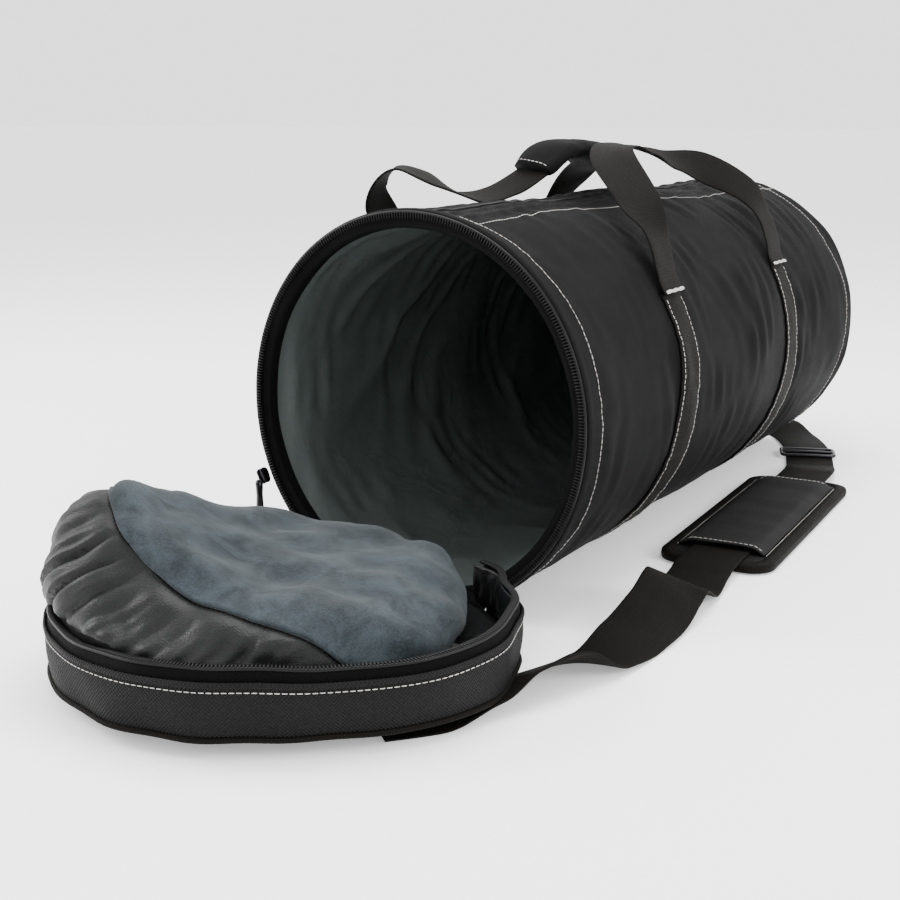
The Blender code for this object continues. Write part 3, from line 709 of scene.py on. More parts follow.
def rear_end():
    """The domed rear panel and its piping."""
    degrees = np.arange(0, 360, 3.0)
    wrinkle, radial = ripples(21, 0.05, 0.14), ripples(22, 0.012, 0.022, heading=0.0)

    def domed(x, z, share):
        rise = 0.0014 * wrinkle(x, z) * ease(1 - share, 0.0, 0.2)
        rise = rise + (0.0006 * radial(np.radians(degrees) * RADIUS, 0)
                       * near(share, 0.93, 0.08))
        dome = 0.0095 * (1 - share ** 2) ** 0.7
        return REAR_Y + 0.0008 + dome + rise * np.minimum(1.0, (1 - share) * 8)

    disc("rear_end_panel", skin(degrees, REAR_Y)[0], (0.0, REAR_Y, AXIS_Z), 1, domed, BLACK,
         "root", FABRIC, ["rear_panel"], last=0.015, offset=0.0, facing=False)
    path, out = skin(np.arange(0, 360, 2.0), REAR_Y + 0.0012, -0.0016, floor=0.0024)
    swept("rear_cord_piping", path, out, round_profile(0.0024), WEBBING, "root", closed=True,
          replaces=["rear_piping"])


def rear_lining():
    """The lining and padding that close the tube's rear end inside."""
    soft = ripples(111, 0.03, 0.09)
    for name, depth, y, thickness, material, replaces, crumple in (
            ("rear_inner_lining", 0.0140, REAR_Y - 0.0130, LINING_CLOTH, LINING, "rear_lining",
             0.0022),
            ("rear_padding", 0.0125, REAR_Y - 0.0020, 0.0095, FOAM, "rear_foam", 0.0)):
        made = disc(name, skin(np.arange(0, 360, 3.0), y, -depth)[0], (0.0, y, AXIS_Z), 1,
                    lambda x, z, share: y - (crumple * np.abs(soft(x, z))
                                             * np.minimum(1, (1 - share) * 6)),
                    material, "root", thickness, [replaces])


# ---------------------------------------------------------------- mouth and zips

def coil(place, teeth, cord, tooth, cord_radius, facing, body):
    """Half a coil zip: teeth across one (path, outward) run, and their cord along another."""
    places, _, up = resample(*teeth, TOOTH_PITCH)
    scattered(f"{place}_teeth", bar_template(*tooth), places, up,
              np.tile(facing, (len(places), 1)), COIL, body, replaces=[f"{place}_zip_coil"])
    swept(f"{place}_teeth_cord", *cord, round_profile(cord_radius, 8), COIL, body)


def mouth():
    """The bound mouth edge, the zip tape and coil round it, and the coil's stitch line."""
    profile = [(-0.0002, 0.0115), (0.0012, 0.0095), (0.0014, 0.0045), (0.0008, 0.0012),
               (-0.0012, 0.0), (-0.0050, 0.0002), (-0.0100, 0.0006), (-0.0122, 0.0016),
               (-0.0132, 0.0042), (-0.0132, 0.0105), (-0.0122, 0.0112), (-0.0080, 0.0105)]
    rise, back = np.array(profile).T
    degrees = np.arange(0, 360, 1.5)[:, None]
    waver = ripples(41, 0.05, 0.12)(np.radians(degrees) * RADIUS, np.arange(len(rise)) * 0.004)
    points, _ = skin(degrees, MOUTH_Y + back + 0.0006 * waver, rise,
                     floor=0.0006 + np.maximum(0.0, 0.0012 - rise))
    piece("mouth_edge", points, TAPE, "root", "ring", replaces=["mouth_binding"])
    along = np.linspace(*ZIP_ENDS, 400)
    coil("mouth", skin(along, MOUTH_Y - 0.0010, -0.0034, floor=0.0040),
         skin(along, MOUTH_Y - 0.0004, -0.0012, floor=0.0030), (0.0050, 0.0015, 0.0026), 0.0011,
         (0.0, -1.0, 0.0), "root")
    stitched("mouth_tape_stitch", [skin(along, MOUTH_Y + 0.0001, -0.0085, floor=0.0075)], "root",
             pitch=0.0030, length=0.0020, width=0.0005, thread=DARK_THREAD)


def zip_slider(name, length, width, height, matrix, body, replaces):
    """A zip slider: two shield-shaped plates joined by a bridge, with a bail on top."""
    outline = []
    for turn in np.arange(20) * 2 * math.pi / 20:
        x, y = math.cos(turn), math.sin(turn)
        narrow = 0.72 + 0.28 * (x + 1) / 2
        outline.append((length / 2 * np.sign(x) * abs(x) ** 0.7,
                        width / 2 * np.sign(y) * abs(y) ** 0.7 * narrow))
    shape = bmesh.new()
    for z0, z1 in ((0.0, 0.0012), (height - 0.0026, height - 0.0014)):
        rows = [[shape.verts.new((x * scale, y * scale, z)) for x, y in outline]
                for scale, z in ((0.90, z0), (1.0, z0 + 0.0003), (1.0, z1 - 0.0003), (0.90, z1))]
        for low, high in zip(rows, rows[1:]):
            for i in range(len(low)):
                j = (i + 1) % len(low)
                shape.faces.new((low[i], low[j], high[j], high[i]))
        shape.faces.new(rows[0][::-1])
        shape.faces.new(rows[-1])
    foot = (length * 0.09, width * 0.24, 0.0022)
    for size, centre in (((length * 0.22, width * 0.30, height - 0.0020),
                          (length * 0.28, 0, height / 2 - 0.0008)),
                         (foot, (-0.22 * length, 0, height - 0.0008)),
                         (foot, (0.22 * length, 0, height - 0.0008)),
                         ((length * 0.54, width * 0.24, 0.0009), (0, 0, height + 0.0006))):
        block = bmesh.ops.create_cube(shape, size=1.0)["verts"]
        bmesh.ops.scale(shape, vec=size, verts=block)
        bmesh.ops.translate(shape, vec=centre, verts=block)
    mesh = bpy.data.meshes.new(name)
    bmesh.ops.recalc_face_normals(shape, faces=shape.faces)
    shape.to_mesh(mesh)
    shape.free()
    mesh.transform(matrix)
    made = finish_piece(name, mesh, METAL, body, replaces=replaces)
    bevel = made.modifiers.new("edges", "BEVEL")
    bevel.width = 0.0003
    bevel.segments = 2
    bevel.limit_method = "ANGLE"
    bevel.angle_limit = math.radians(40)
    made.data.set_sharp_from_angle(angle=math.radians(50))


def oval(middle, half_length, half_width, power, count):
    """A rounded outline for a hole; a power under 1 squares its corners."""
    return [(middle + half_length * np.sign(math.cos(a)) * abs(math.cos(a)) ** power,
             half_width * np.sign(math.sin(a)) * abs(math.sin(a)) ** power)
            for a in np.linspace(0, 2 * math.pi, count, endpoint=False)]


def pull_tab(name, length, width, thickness, matrix, body, replaces):
    """A pull: a flat tab with an eye at its hinge end and a slot near its free end."""
    outline = [(0.0, -0.32), (0.06, -0.46), (0.22, -0.40), (0.40, -0.34), (0.80, -0.46),
               (0.94, -0.40), (1.0, -0.20)]
    outline = outline + [(x, -y) for x, y in reversed(outline)]
    curve = bpy.data.curves.new(name, "CURVE")
    curve.dimensions = "2D"
    curve.fill_mode = "BOTH"
    curve.extrude = thickness / 2
    curve.bevel_depth = thickness * 0.18
    for ring in (outline, oval(0.105, 0.055, 0.17, 1.0, 12), oval(0.78, 0.085, 0.22, 0.6, 14)):
        line = curve.splines.new("POLY")
        line.points.add(len(ring) - 1)
        for point, (x, y) in zip(line.points, ring):
            point.co = (x * length, y * width, 0.0, 1.0)
        line.use_cyclic_u = True
    holder = bpy.data.objects.new(name + "_outline", curve)
    bpy.context.scene.collection.objects.link(holder)
    bpy.context.view_layer.update()
    graph = bpy.context.evaluated_depsgraph_get()
    mesh = bpy.data.meshes.new_from_object(holder.evaluated_get(graph))
    bpy.data.objects.remove(holder)
    mesh.transform(matrix)
    mesh.materials.clear()
    finish_piece(name, mesh, METAL, body, replaces=replaces)


def mouth_slider():
    centre = Vector(centre_of("mouth_zip_slider"))
    out = Vector((centre.x, 0, centre.z - AXIS_Z)).normalized()
    height = 0.0066
    zip_slider("mouth_slider_metal", 0.0130, 0.0110, height,
               placing(centre - out * height * 0.5, (out.z, 0, -out.x), out), "mouth_slider",
               ["mouth_zip_slider"])
    low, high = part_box("mouth_zip_pull")
    x, y, _ = centre_of("mouth_zip_pull")
    pull_tab("mouth_pull_metal", high.z - low.z, 0.0080, 0.0016,
             placing((x, y, high.z), (0, 0, -1), (-1, 0, 0)), "mouth_pull", ["mouth_zip_pull"])


def top_zip():
    """The zip along the top: tapes with their sewn welts, interlocked coil, tab and slider."""
    y = np.linspace(MOUTH_Y + 0.006, REAR_Y - 0.001, 150)[:, None]
    share = np.linspace(0.0, 1.0, 26)
    start = placket_degrees(y) - 2.0
    lift = -0.0013 + 0.0014 * near(share, 0.42, 0.10) + 0.0010 * near(share, 0.74, 0.08)
    for side in ("right", "left"):
        flat, out = skin(mirrored(start + (88.6 - start) * share, side), y)
        sheet_of(f"top_tape_{side}", flat + out * lift[:, None], TAPE, "root", 0.0010,
                 side == "left", replaces=[f"top_zip_tape_{side}"], slot="black_fabric")
    line = np.linspace(MOUTH_Y + 0.003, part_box("top_zip_coil")[1].y, 500)
    places, _, up = resample(*skin(90.0, line, -0.0010), TOOTH_PITCH / 2)
    offset = np.where(np.arange(len(places)) % 2 == 0, 0.0011, -0.0011)
    places = places + np.array([1.0, 0, 0]) * offset[:, None]
    scattered("top_teeth", bar_template(0.0050, 0.0012, 0.0020), places,
              np.tile([1.0, 0.0, 0.0], (len(places), 1)), up, COIL, "root",
              replaces=["top_zip_coil"])
    low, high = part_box("top_zip_end_tab")
    across = np.linspace(-1.0, 1.0, 15)
    flat, _ = skin(90.0 - across * 5.0, np.linspace(low.y, high.y, 14)[:, None], 0.0026)
    flat[..., 2] += 0.0006 * (1 - across ** 2)
    sheet_of("top_end_tab", flat, WEBBING, "root", 0.0014, replaces=["top_zip_end_tab"])
    edge = np.linspace(low.y + 0.003, high.y - 0.003, 8)
    runs = [skin(90.0 - side * 4.0, edge, 0.0030) for side in (-1, 1)]
    runs.append(skin(np.linspace(86.0, 94.0, 8), low.y + 0.003, 0.0032))
    stitched("top_end_tab_stitch", runs, "root", pitch=0.0030, length=0.0023, width=0.0007)
    low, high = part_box("top_zip_slider")
    x, y, _ = centre_of("top_zip_slider")
    zip_slider("top_slider_metal", high.y - low.y, (high.x - low.x) * 1.05, high.z - low.z,
               placing((x, y, low.z - 0.0004), (0, -1, 0), UP), "top_slider",
               ["top_zip_slider"])
    low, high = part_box("top_zip_pull")
    root = (0.0, high.y - 0.0005, (low.z + high.z) / 2 + 0.0002)
    pull_tab("top_pull_metal", high.y - low.y, 0.0088, 0.0017, placing(root, (0, -1, 0), UP),
             "top_pull", ["top_zip_pull"])


# ---------------------------------------------------------------- handles

def handle_route(side):
    """The handle's way from its front band over the top to its rear band."""
    y0, y1 = FRONT_BAND_Y, REAR_BAND_Y
    front, rear = ([(tuple(skin(mirrored(BAND_FOOT + degrees, side), y, lift)[0]), (0, across, 0))
                    for degrees, lift in ((-0.4, 0.0033), (1.0, 0.0034), (3.8, 0.0042))]
                   for y, across in ((y0, 1.0), (y1, -1.0)))
    if side == "right":
        middle = [((0.1240, y0, 0.250), (0, 1, 0)), ((0.114, y0 + 0.006, 0.272), (0, 1, 0)),
                  ((0.086, y0 + 0.026, 0.304), (0.55, 0.80, 0.25)),
                  ((0.045, -0.088, 0.334), (0.85, 0.45, 0.20)),
                  ((0.030, -0.045, 0.343), (1, 0.15, -0.05)),
                  ((0.030, 0.005, 0.338), (1, 0, -0.25)),
                  ((0.040, 0.050, 0.328), (0.8, -0.3, -0.5)),
                  ((0.066, 0.090, 0.318), (0.35, -0.45, -0.8)),
                  ((0.098, 0.113, 0.298), (0.1, -0.8, -0.55)), ((0.114, y1, 0.272), (0, -1, 0)),
                  ((0.1225, y1, 0.250), (0, -1, 0))]
    else:
        middle = [((-0.1255, y0 - 0.002, 0.252), (0, 1, 0)), ((-0.130, -0.172, 0.272), (0, 1, 0)),
                  ((-0.122, -0.205, 0.302), (-0.2, 1, 0)),
                  ((-0.106, -0.202, 0.324), (-0.4, 0.9, 0)),
                  ((-0.084, -0.178, 0.316), (-0.7, 0.6, 0.3)),
                  ((-0.062, -0.150, 0.3000), (-0.93, 0.3, 0.2)),
                  ((-0.046, -0.118, 0.3045), (-0.97, 0.2, 0.1)),
                  ((-0.032, -0.088, 0.320), (-1, 0.1, 0)),
                  ((-0.024, -0.060, 0.336), (-1, 0, 0)), ((-0.022, 0.000, 0.334), (-1, 0, 0)),
                  ((-0.040, 0.050, 0.325), (-1, -0.4, 0)),
                  ((-0.075, 0.092, 0.312), (-0.6, -0.8, 0)),
                  ((-0.110, 0.116, 0.282), (-0.2, -1, 0)), ((-0.1245, y1, 0.250), (0, -1, 0))]
    return front + middle + rear[::-1]


def bartack(name, path, across, out):
    """The dense pale tacking across the foot of a handle, sewn to the tube."""
    sides = np.linspace(-1.0, 1.0, 46)[:, None] * (BAND_WIDTH / 2 - 0.0012)
    runs = []
    for row in (-0.0006, 0.0003, 0.0012):
        wander = 0.0003 * np.sin(sides * 500.0 + row * 900.0)
        line = path[1] + unit(path[2] - path[1]) * (row + wander) + across[1] * sides
        runs.append(run_of(line + out[1] * 0.0014, out[1]))
    stitched(name, runs, "root", pitch=0.0011, length=0.0017, width=0.0009)


def handles():
    for side in ("right", "left"):
        _, path, across, out = webbing(f"handle_{side}", handle_route(side), BAND_WIDTH, 0.0019,
                                       f"{side}_handle", 0.0022,
                                       replaces=[f"{side}_handle_webbing"])
        for place, foot in (("front", slice(0, 6)), ("rear", slice(None, -7, -1))):
            outward = out[foot] * np.sign(out[foot][0, 0] * path[foot][0, 0])
            bartack(f"{place}_bartack_{side}", path[foot], across[foot], outward)
    handle_grip()


def handle_grip():
    """The padded wrap on the left handle, with a row of stitches at each end."""
    path, across = route(handle_route("left")[10:14], 0.004)
    along = tangents(path)
    across = squared(across, along)
    up = np.cross(across, along)
    up = up * np.sign(up[:, 2:3])
    count = len(path)
    turn = np.arange(28) * 2 * math.pi / 28
    plump = (1 - np.abs(np.linspace(-1, 1, count)) ** 8)[:, None]
    wide = 0.0235 * np.sign(np.cos(turn)) * np.abs(np.cos(turn)) ** 0.75
    tall = 0.0090 * np.sin(turn) * (0.7 + 0.3 * plump) + 0.0024
    crumple = ripples(51, 0.012, 0.03)
    tall = tall + 0.0006 * crumple(np.linspace(0, 0.12, count)[:, None], turn[None, :] * 0.02)
    points = (path[:, None] + across[:, None] * (wide * (0.92 + 0.08 * plump))[..., None]
              + up[:, None] * tall[..., None])
    grip = piece("handle_grip", points, BLACK, "left_handle", "rod",
                 replaces=["handle_grip_wrap"])
    sweep = np.linspace(-0.9, 0.9, 24)[:, None]
    stitched("handle_grip_stitch",
             [run_of(path[k] + across[k] * sweep * 0.0205
                     + up[k] * (0.0106 - 0.0040 * sweep ** 4), up[k])
              for k in (1, count - 2)], "left_handle")


# ---------------------------------------------------------------- flap

# Where the soft open flap stands out from a circle: plan angle, reach in degrees, amount
FLAP_SLACK = ((-148.0, 30.0, 0.0085), (-52.0, 30.0, -0.0120), (0.0, 26.0, 0.0090))
FLAP_GAP = 33.0               # half of the opening at the hinge, where the hinge fabric takes over
FLAP_INSET = 0.0010           # the face's layers stop this far inside the side wall
GUSSET_WAVES = ripples(61, 0.030, 0.080, heading=0.0, spread=0.35)
RIM_WAVES = ripples(62, 0.16, 0.30, heading=0.0, spread=0.1)


def flap_radius(plan):
    total = np.full_like(plan, FLAP_RADIUS - 0.0005)
    for angle, reach, amount in FLAP_SLACK:
        total = total + amount * near_angle(plan, angle, reach)
    return total


def flap_point(plan, height, lift=0.0):
    """A point on the open flap's side wall at a plan angle and a height, and its outward side."""
    plan, height = np.broadcast_arrays(np.asarray(plan, float), np.asarray(height, float))
    turn = np.radians(plan)
    share = np.clip((height - FLAP_FACE) / (FLAP_RIM - FLAP_FACE), 0.0, 1.0)
    arc = turn * FLAP_RADIUS
    bulge = 0.0030 * np.sin(math.pi * share) + 0.0010 * GUSSET_WAVES(arc, height)
    radius = flap_radius(plan) + (bulge + lift)
    out = np.stack([np.cos(turn), np.sin(turn), np.zeros_like(turn)], -1)
    point = out * radius[..., None]
    point[..., 1] += FLAP_Y
    point[..., 2] = height + 0.0011 * RIM_WAVES(arc, 0.0) * share
    return point, out


def flap_plan(overlap, count):
    """Plan angles round the side wall, from one side of the hinge to the other."""
    return np.linspace(90.0 + FLAP_GAP - overlap, 450.0 - FLAP_GAP + overlap, count)


def flap_wall(name, plan, heights, lift, material, thickness, replaces):
    points, _ = flap_point(plan, heights[:, None], lift)
    sheet_of(name, points, material, "flap", thickness, True, replaces=replaces)


def flap():
    plan = flap_plan(0.0, 330)
    flap_wall("flap_side_twill", plan, np.linspace(FLAP_FACE + 0.0020, TAPE_LOW + 0.0006, 14),
              0.0, GUSSET, 0.0014, ["flap_gusset"])
    flap_wall("flap_tape", plan, np.linspace(TAPE_LOW - 0.0010, FLAP_RIM - 0.0030, 8), -0.0012,
              TAPE, 0.0010, ["flap_zip_tape"])
    swept("flap_side_welt", *flap_point(plan, TAPE_LOW + 0.0004, 0.0004),
          round_profile(1.0) * [0.0012, 0.0022], GUSSET, "flap")
    coil("flap", flap_point(plan, FLAP_RIM - 0.0014, -0.0030),
         flap_point(plan, FLAP_RIM - 0.0024, -0.0014), (0.0052, 0.0015, 0.0024), 0.0012, UP,
         "flap")
    stitched("flap_stitch", [flap_point(plan, TAPE_LOW - 0.0036, 0.0004)], "flap")
    swept("flap_edge_piping", *flap_point(np.arange(118.0, 422.0, 1.5), FLAP_FACE + 0.0020,
                                          0.0004), round_profile(0.0021), WEBBING, "flap",
          replaces=["flap_piping"])
    flap_lining()
    for name, height, inset, seed, material, thickness, offset, replaces, wrinkle in (
            ("flap_face", 0.0, 0.0, 64, BLACK, FABRIC, 1.0, "flap_panel", 0.0009),
            ("flap_padding", 0.0090, 0.0050, 69, FOAM, 0.0050, -1.0, "flap_foam", 0.0003),
            ("flap_floor_lining", 0.0106, 0.0045, 68, DARK_LINING, LINING_CLOTH, -1.0,
             "flap_lining", 0.0014)):
        made = flap_layer(name, FLAP_FACE + height, FLAP_INSET + inset, ripples(seed, 0.03, 0.09),
                          wrinkle, material, thickness, [replaces], offset)


def flap_lining():
    """The loose lining inside the flap's side wall."""
    plan = flap_plan(3.0, 300)
    heights = np.linspace(FLAP_FACE + 0.0108, FLAP_RIM - 0.0050, 16)
    crumple = ripples(63, 0.014, 0.045, heading=0.1, spread=0.5)
    held = ease(FLAP_RIM - heights, 0.004, 0.016) * ease(heights - FLAP_FACE, 0.010, 0.020)
    waves = np.abs(crumple(np.radians(plan) * FLAP_RADIUS, heights[:, None]))
    flap_wall("flap_side_lining", plan, heights,
              -0.0042 - (0.0012 + 0.0016 * waves) * held[:, None], DARK_LINING, LINING_CLOTH,
              ["flap_gusset_lining"])


def flap_layer(name, height, inset, soft, wrinkle, material, thickness, replaces, offset):
    """A round layer of the flap's face."""
    plan = np.arange(0.0, 360.0, 2.5)
    turn = np.radians(plan)
    edge = flap_radius(plan) - inset
    at_hinge = near_angle(plan, 90.0, 26.0) > 0.02
    edge = np.where(at_hinge, np.minimum(edge, FLAP_RADIUS - inset), edge)
    rim = np.stack([edge * np.cos(turn), FLAP_Y + edge * np.sin(turn), 0 * turn], 1)
    return disc(name, rim, (0.0, FLAP_Y, 0.0), 2,
                lambda x, y, share: height + wrinkle * soft(x, y) * ease(1 - share, 0.0, 0.15),
                material, "flap", thickness, replaces, count=30, offset=offset)


def hinge_fabric():
    """The slack cloth that joins the flap's face to the mouth's lower edge."""
    x = np.linspace(-0.077, 0.077, 70)
    bend = [(0.004, 0.0060), (-0.0005, 0.0085), (-0.0020, 0.0150), (-0.0030, 0.0185),
            (-0.0050, 0.0190), (-0.0080, 0.0165), (-0.0120, 0.0135), (-0.0180, FLAP_FACE + 0.0012)]
    waver = ripples(71, 0.02, 0.05, heading=0.0, spread=0.3)
    points = np.empty((len(bend), len(x), 3))
    curve = x ** 2 / (2 * HALF_HEIGHT)
    for k, (forward, z) in enumerate(bend):
        share = k / (len(bend) - 1)
        hump = math.sin(math.pi * share)
        points[k, :, 0] = x
        points[k, :, 1] = (MOUTH_Y + forward + 0.0010 * waver(x, k * 0.003) * hump
                           - curve * share * 0.6)
        points[k, :, 2] = (z + 0.0012 * waver(x + 0.4, k * 0.003) * hump
                           + curve * 0.35 * (1 - share))
    made = piece("hinge_fabric", points, BLACK, "root", replaces=["flap_hinge_strip"],
                 ride=False)
    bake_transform(made)
    thicken(made, FABRIC)


# ---------------------------------------------------------------- pillow

CLOTH_FRAMES = 20
PILLOW_BACK = MOUTH_Y - 0.0215     # the pillow stays this side of the hinge fabric
PLUSH_CORE = Vector((0.0, -0.500, 0.022))


def seam_line(x):
    """The seam between plush top and nylon side: near the front rim, turning back at the left."""
    return -0.599 + 0.048 * ease(-x, 0.045, 0.118) + 0.026 * ease(x, 0.020, 0.120)


def pillow_height(x, y):
    """The pillow's top: swollen at the far left, pressed into a trough by what it carries."""
    swell = near(x, -0.108, 0.075) * near(y, -0.556, 0.080)
    brow = near(y, -0.600, 0.042) * (0.008 + 0.018 * ease(-x, -0.05, 0.06))
    return 0.066 + 0.048 * swell + brow + near(x, -0.105, 0.060) * 0.010


def pillow_form():
    """The pillow's closed form before the stuffing swells it."""
    turn = np.linspace(0, 2 * math.pi, 96, endpoint=False)
    plan = np.degrees(turn)
    edge = (flap_radius(plan) - 0.0072 - 0.030 * near_angle(plan, 14.0, 46.0)
            - 0.014 * near_angle(plan, 90.0, 40.0))
    left = near_angle(plan, 205.0, 50.0)
    rings = [(share * 0.92, 0.0) for share in np.linspace(0.05, 1.0, 12)]
    rings += [(0.97, 0.30), (1.0, 0.62), (1.0, 0.85)]
    rings += [(share, 1.0) for share in (0.99, 0.965, 0.93, 0.88, 0.82, 0.75, 0.67, 0.58, 0.48,
                                         0.38, 0.28, 0.18, 0.08)]
    rim = FLAP_RIM - 0.002
    points = []
    for share, rise in rings:
        reach = edge * share * (1.0 + 0.070 * left * near(share, 0.95, 0.08) * (rise == 1.0))
        x, y = reach * np.cos(turn), FLAP_Y + reach * np.sin(turn)
        if rise < 1.0:
            z = np.full_like(x, PILLOW_FLOOR + (rim - PILLOW_FLOOR) * rise)
        else:
            z = rim + (pillow_height(x, y) - rim) * np.maximum(1 - share ** 7, 0.0) ** 0.55
        points.append(np.stack([x, y, z], 1))
    return np.array(points)


def baked(made):
    """The mesh of an object as its modifiers leave it."""
    graph = bpy.context.evaluated_depsgraph_get()
    return bpy.data.meshes.new_from_object(made.evaluated_get(graph))


def swollen(mesh, voxel, pressure, cap):
    """The mesh remeshed and blown up a little as stuffed cloth; it never moves beyond the cap."""
    made = bpy.data.objects.new("swelling", mesh)
    bpy.context.scene.collection.objects.link(made)
    remesh = made.modifiers.new("even", "REMESH")
    remesh.mode = "VOXEL"
    remesh.voxel_size = voxel
    even = baked(made)
    made.modifiers.clear()
    made.data = even
    before = np.array([v.co for v in even.vertices])
    cloth = made.modifiers.new("cloth", "CLOTH")
    cloth.settings.use_pressure = True
    cloth.settings.uniform_pressure_force = pressure
    cloth.settings.effector_weights.gravity = 0.0
    cloth.settings.tension_stiffness = 12.0
    cloth.settings.compression_stiffness = 8.0
    cloth.settings.bending_stiffness = 0.4
    cloth.point_cache.frame_start = 1
    cloth.point_cache.frame_end = CLOTH_FRAMES
    for step in range(1, CLOTH_FRAMES + 1):
        bpy.context.scene.frame_set(step)
    graph = bpy.context.evaluated_depsgraph_get()
    after = np.array([v.co for v in made.evaluated_get(graph).data.vertices])
    made.modifiers.clear()
    bpy.context.scene.frame_set(1)
    shift = after - before
    length = np.linalg.norm(shift, axis=1, keepdims=True)
    after = before + shift * np.minimum(1.0, cap / np.maximum(length, 1e-9))
    even.vertices.foreach_set("co", after.astype(np.float32).ravel())
    smooth = made.modifiers.new("fine", "SUBSURF")
    smooth.levels = smooth.render_levels = 1
    fine = baked(made)
    bpy.data.objects.remove(made)
    fine.materials.clear()
    return fine


def pillow_crumple(x, y, z):
    """How far the stuffed form's cloth stands out: pleats on the nylon side, creases on top."""
    turn = np.arctan2(y - FLAP_Y, x)
    away = np.hypot(x, y - FLAP_Y) / FLAP_RADIUS
    pleats = ripples(81, 0.030, 0.070, heading=0.0, spread=0.14, count=5)
    fine = ripples(83, 0.012, 0.024, heading=0.1, spread=0.3)
    creases, calm = ripples(82, 0.035, 0.090), ripples(84, 0.12, 0.24)
    arc = turn * FLAP_RADIUS - 1.1 * (z - FLAP_RIM)
    upper = ease(z, PILLOW_FLOOR + 0.020, PILLOW_FLOOR + 0.034)
    side = np.maximum(ease(seam_line(x) - y, -0.004, 0.016), ease(-x, 0.100, 0.125)) * upper
    valley = (1.0 - np.abs(pleats(arc, away * 0.05)) * 1.3).clip(0) ** 1.2
    deep = ease(calm(arc, z), -0.9, 0.7)
    rise = side * (0.0016 - 0.0056 * valley * deep * ease(away, 0.60, 0.92))
    rise = rise + side * 0.0008 * fine(arc, away * 0.1) * ease(away, 0.75, 0.95)
    return rise + 0.0020 * creases(x * 1.3, y + z) * upper


def pillow():
    mesh = swollen(grid_mesh("pillow_form", pillow_form(), "rod"), 0.0050, 3.0, 0.006)
    points = np.array([v.co for v in mesh.vertices])
    normals = np.array([v.normal for v in mesh.vertices])
    points = points + normals * pillow_crumple(*points.T)[:, None]
    plan = np.degrees(np.arctan2(points[:, 1] - FLAP_Y, points[:, 0]))
    reach = np.hypot(points[:, 0], points[:, 1] - FLAP_Y)
    limit = flap_radius(plan) - 0.0066 + 0.022 * ease(points[:, 2], FLAP_RIM, FLAP_RIM + 0.012)
    pull = np.minimum(1.0, limit / reach)
    points[:, 0] *= pull
    points[:, 1] = np.minimum(FLAP_Y + (points[:, 1] - FLAP_Y) * pull, PILLOW_BACK)
    points[:, 2] = np.maximum(points[:, 2], PILLOW_FLOOR + 0.0010)
    mesh.vertices.foreach_set("co", points.astype(np.float32).ravel())
    mesh.update()
    tree = BVHTree.FromPolygons([Vector(p) for p in points],
                                [list(f.vertices) for f in mesh.polygons])
    cover = finish_piece("pillow_shell", mesh, PILLOW, "flap", replaces=["pillow_cover"])
    plush, sewn = plush_panel(tree)
    for part in (cover, plush, sewn):
        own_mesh(part)


def plush_spot(tree, turn, dip):
    """Where the pillow's surface lies in one direction from its core."""
    aim = Vector((math.cos(turn) * math.cos(dip), math.sin(turn) * math.cos(dip), math.sin(dip)))
    return tree.ray_cast(PLUSH_CORE, aim)[0], aim


def plush_outline(tree, turn):
    """How low the plush reaches in one direction: to the seam, else down to the flap's rim."""
    low, high = 0.10, math.pi / 2
    for _ in range(14):
        middle = (low + high) / 2
        spot, _ = plush_spot(tree, turn, middle)
        kept = spot.y > seam_line(spot.x) and spot.x > -0.116 and spot.z > 0.038
        low, high = (low, middle) if kept else (middle, high)
    return high + 0.008 * math.sin(turn * 9 + 0.6)


def plush_panel(tree):
    """The plush top, laid over the stuffed form with a few soft folds at the far left."""
    turns = np.linspace(0, 2 * math.pi, 200, endpoint=False)
    edge = np.array([plush_outline(tree, turn) for turn in turns])
    for _ in range(3):
        edge = sum((np.roll(edge, k) for k in (1, -1, 2, -2)), edge) / 5
    soft = ripples(91, 0.030, 0.075)
    rings, flat = [], []
    for share in np.linspace(1.0, 0.02, 54):
        ring = []
        for turn, dip in zip(turns, edge):
            lean = (math.pi / 2 - dip) * share
            spot, aim = plush_spot(tree, turn, math.pi / 2 - lean)
            folds = math.sin((spot.x * 0.80 + spot.y * 0.60) * 2 * math.pi / 0.034)
            folds *= 0.0042 * math.exp(-((spot.x + 0.095) / 0.045) ** 2
                                       - ((spot.y + 0.545) / 0.050) ** 2)
            puff = 0.0030 * (1 - share ** 14) + 0.0008 + max(folds, -0.0018)
            puff += 0.0012 * soft(spot.x, spot.y) * (1 - share ** 6)
            ring.append(spot + aim * puff)
        rings.append(ring)
        spread = (math.pi / 2 - edge) * share * 0.12
        flat.append(np.stack([spread * np.cos(turns), spread * np.sin(turns)], 1))
    points = np.array(rings)
    points[..., 1] = np.minimum(points[..., 1], PILLOW_BACK)
    made = round_layer("plush_top", points, np.array(flat), 2, PLUSH, "flap", 0.0026, -1.0,
                       ["pillow_plush"])
    front = (turns > math.pi * 0.95) & (turns < math.pi * 1.90)
    seam = run_of(points[0][front] + [0.0, -0.0004, -0.0004], [0.0, -0.6, 0.8])
    sewn = stitched("pillow_seam_stitch", [seam], "flap", pitch=0.0036, length=0.0024,
                    width=0.0009, thread=DARK_THREAD)
    return made, sewn


# ---------------------------------------------------------------- strap, rings, pad, adjuster

def laid(x, y, turn=0.0, tilt=0.0, lift=0.0):
    """A strap station on the floor: turned in plan, tilted up on its edge, lifted."""
    turn, tilt = math.radians(turn), math.radians(tilt)
    height = STRAP_THICKNESS / 2 + 0.0003 + lift + STRAP_WIDTH / 2 * abs(math.sin(tilt))
    side = (math.cos(turn) * math.cos(tilt), math.sin(turn) * math.cos(tilt), math.sin(tilt))
    return ((x, y, height), side)


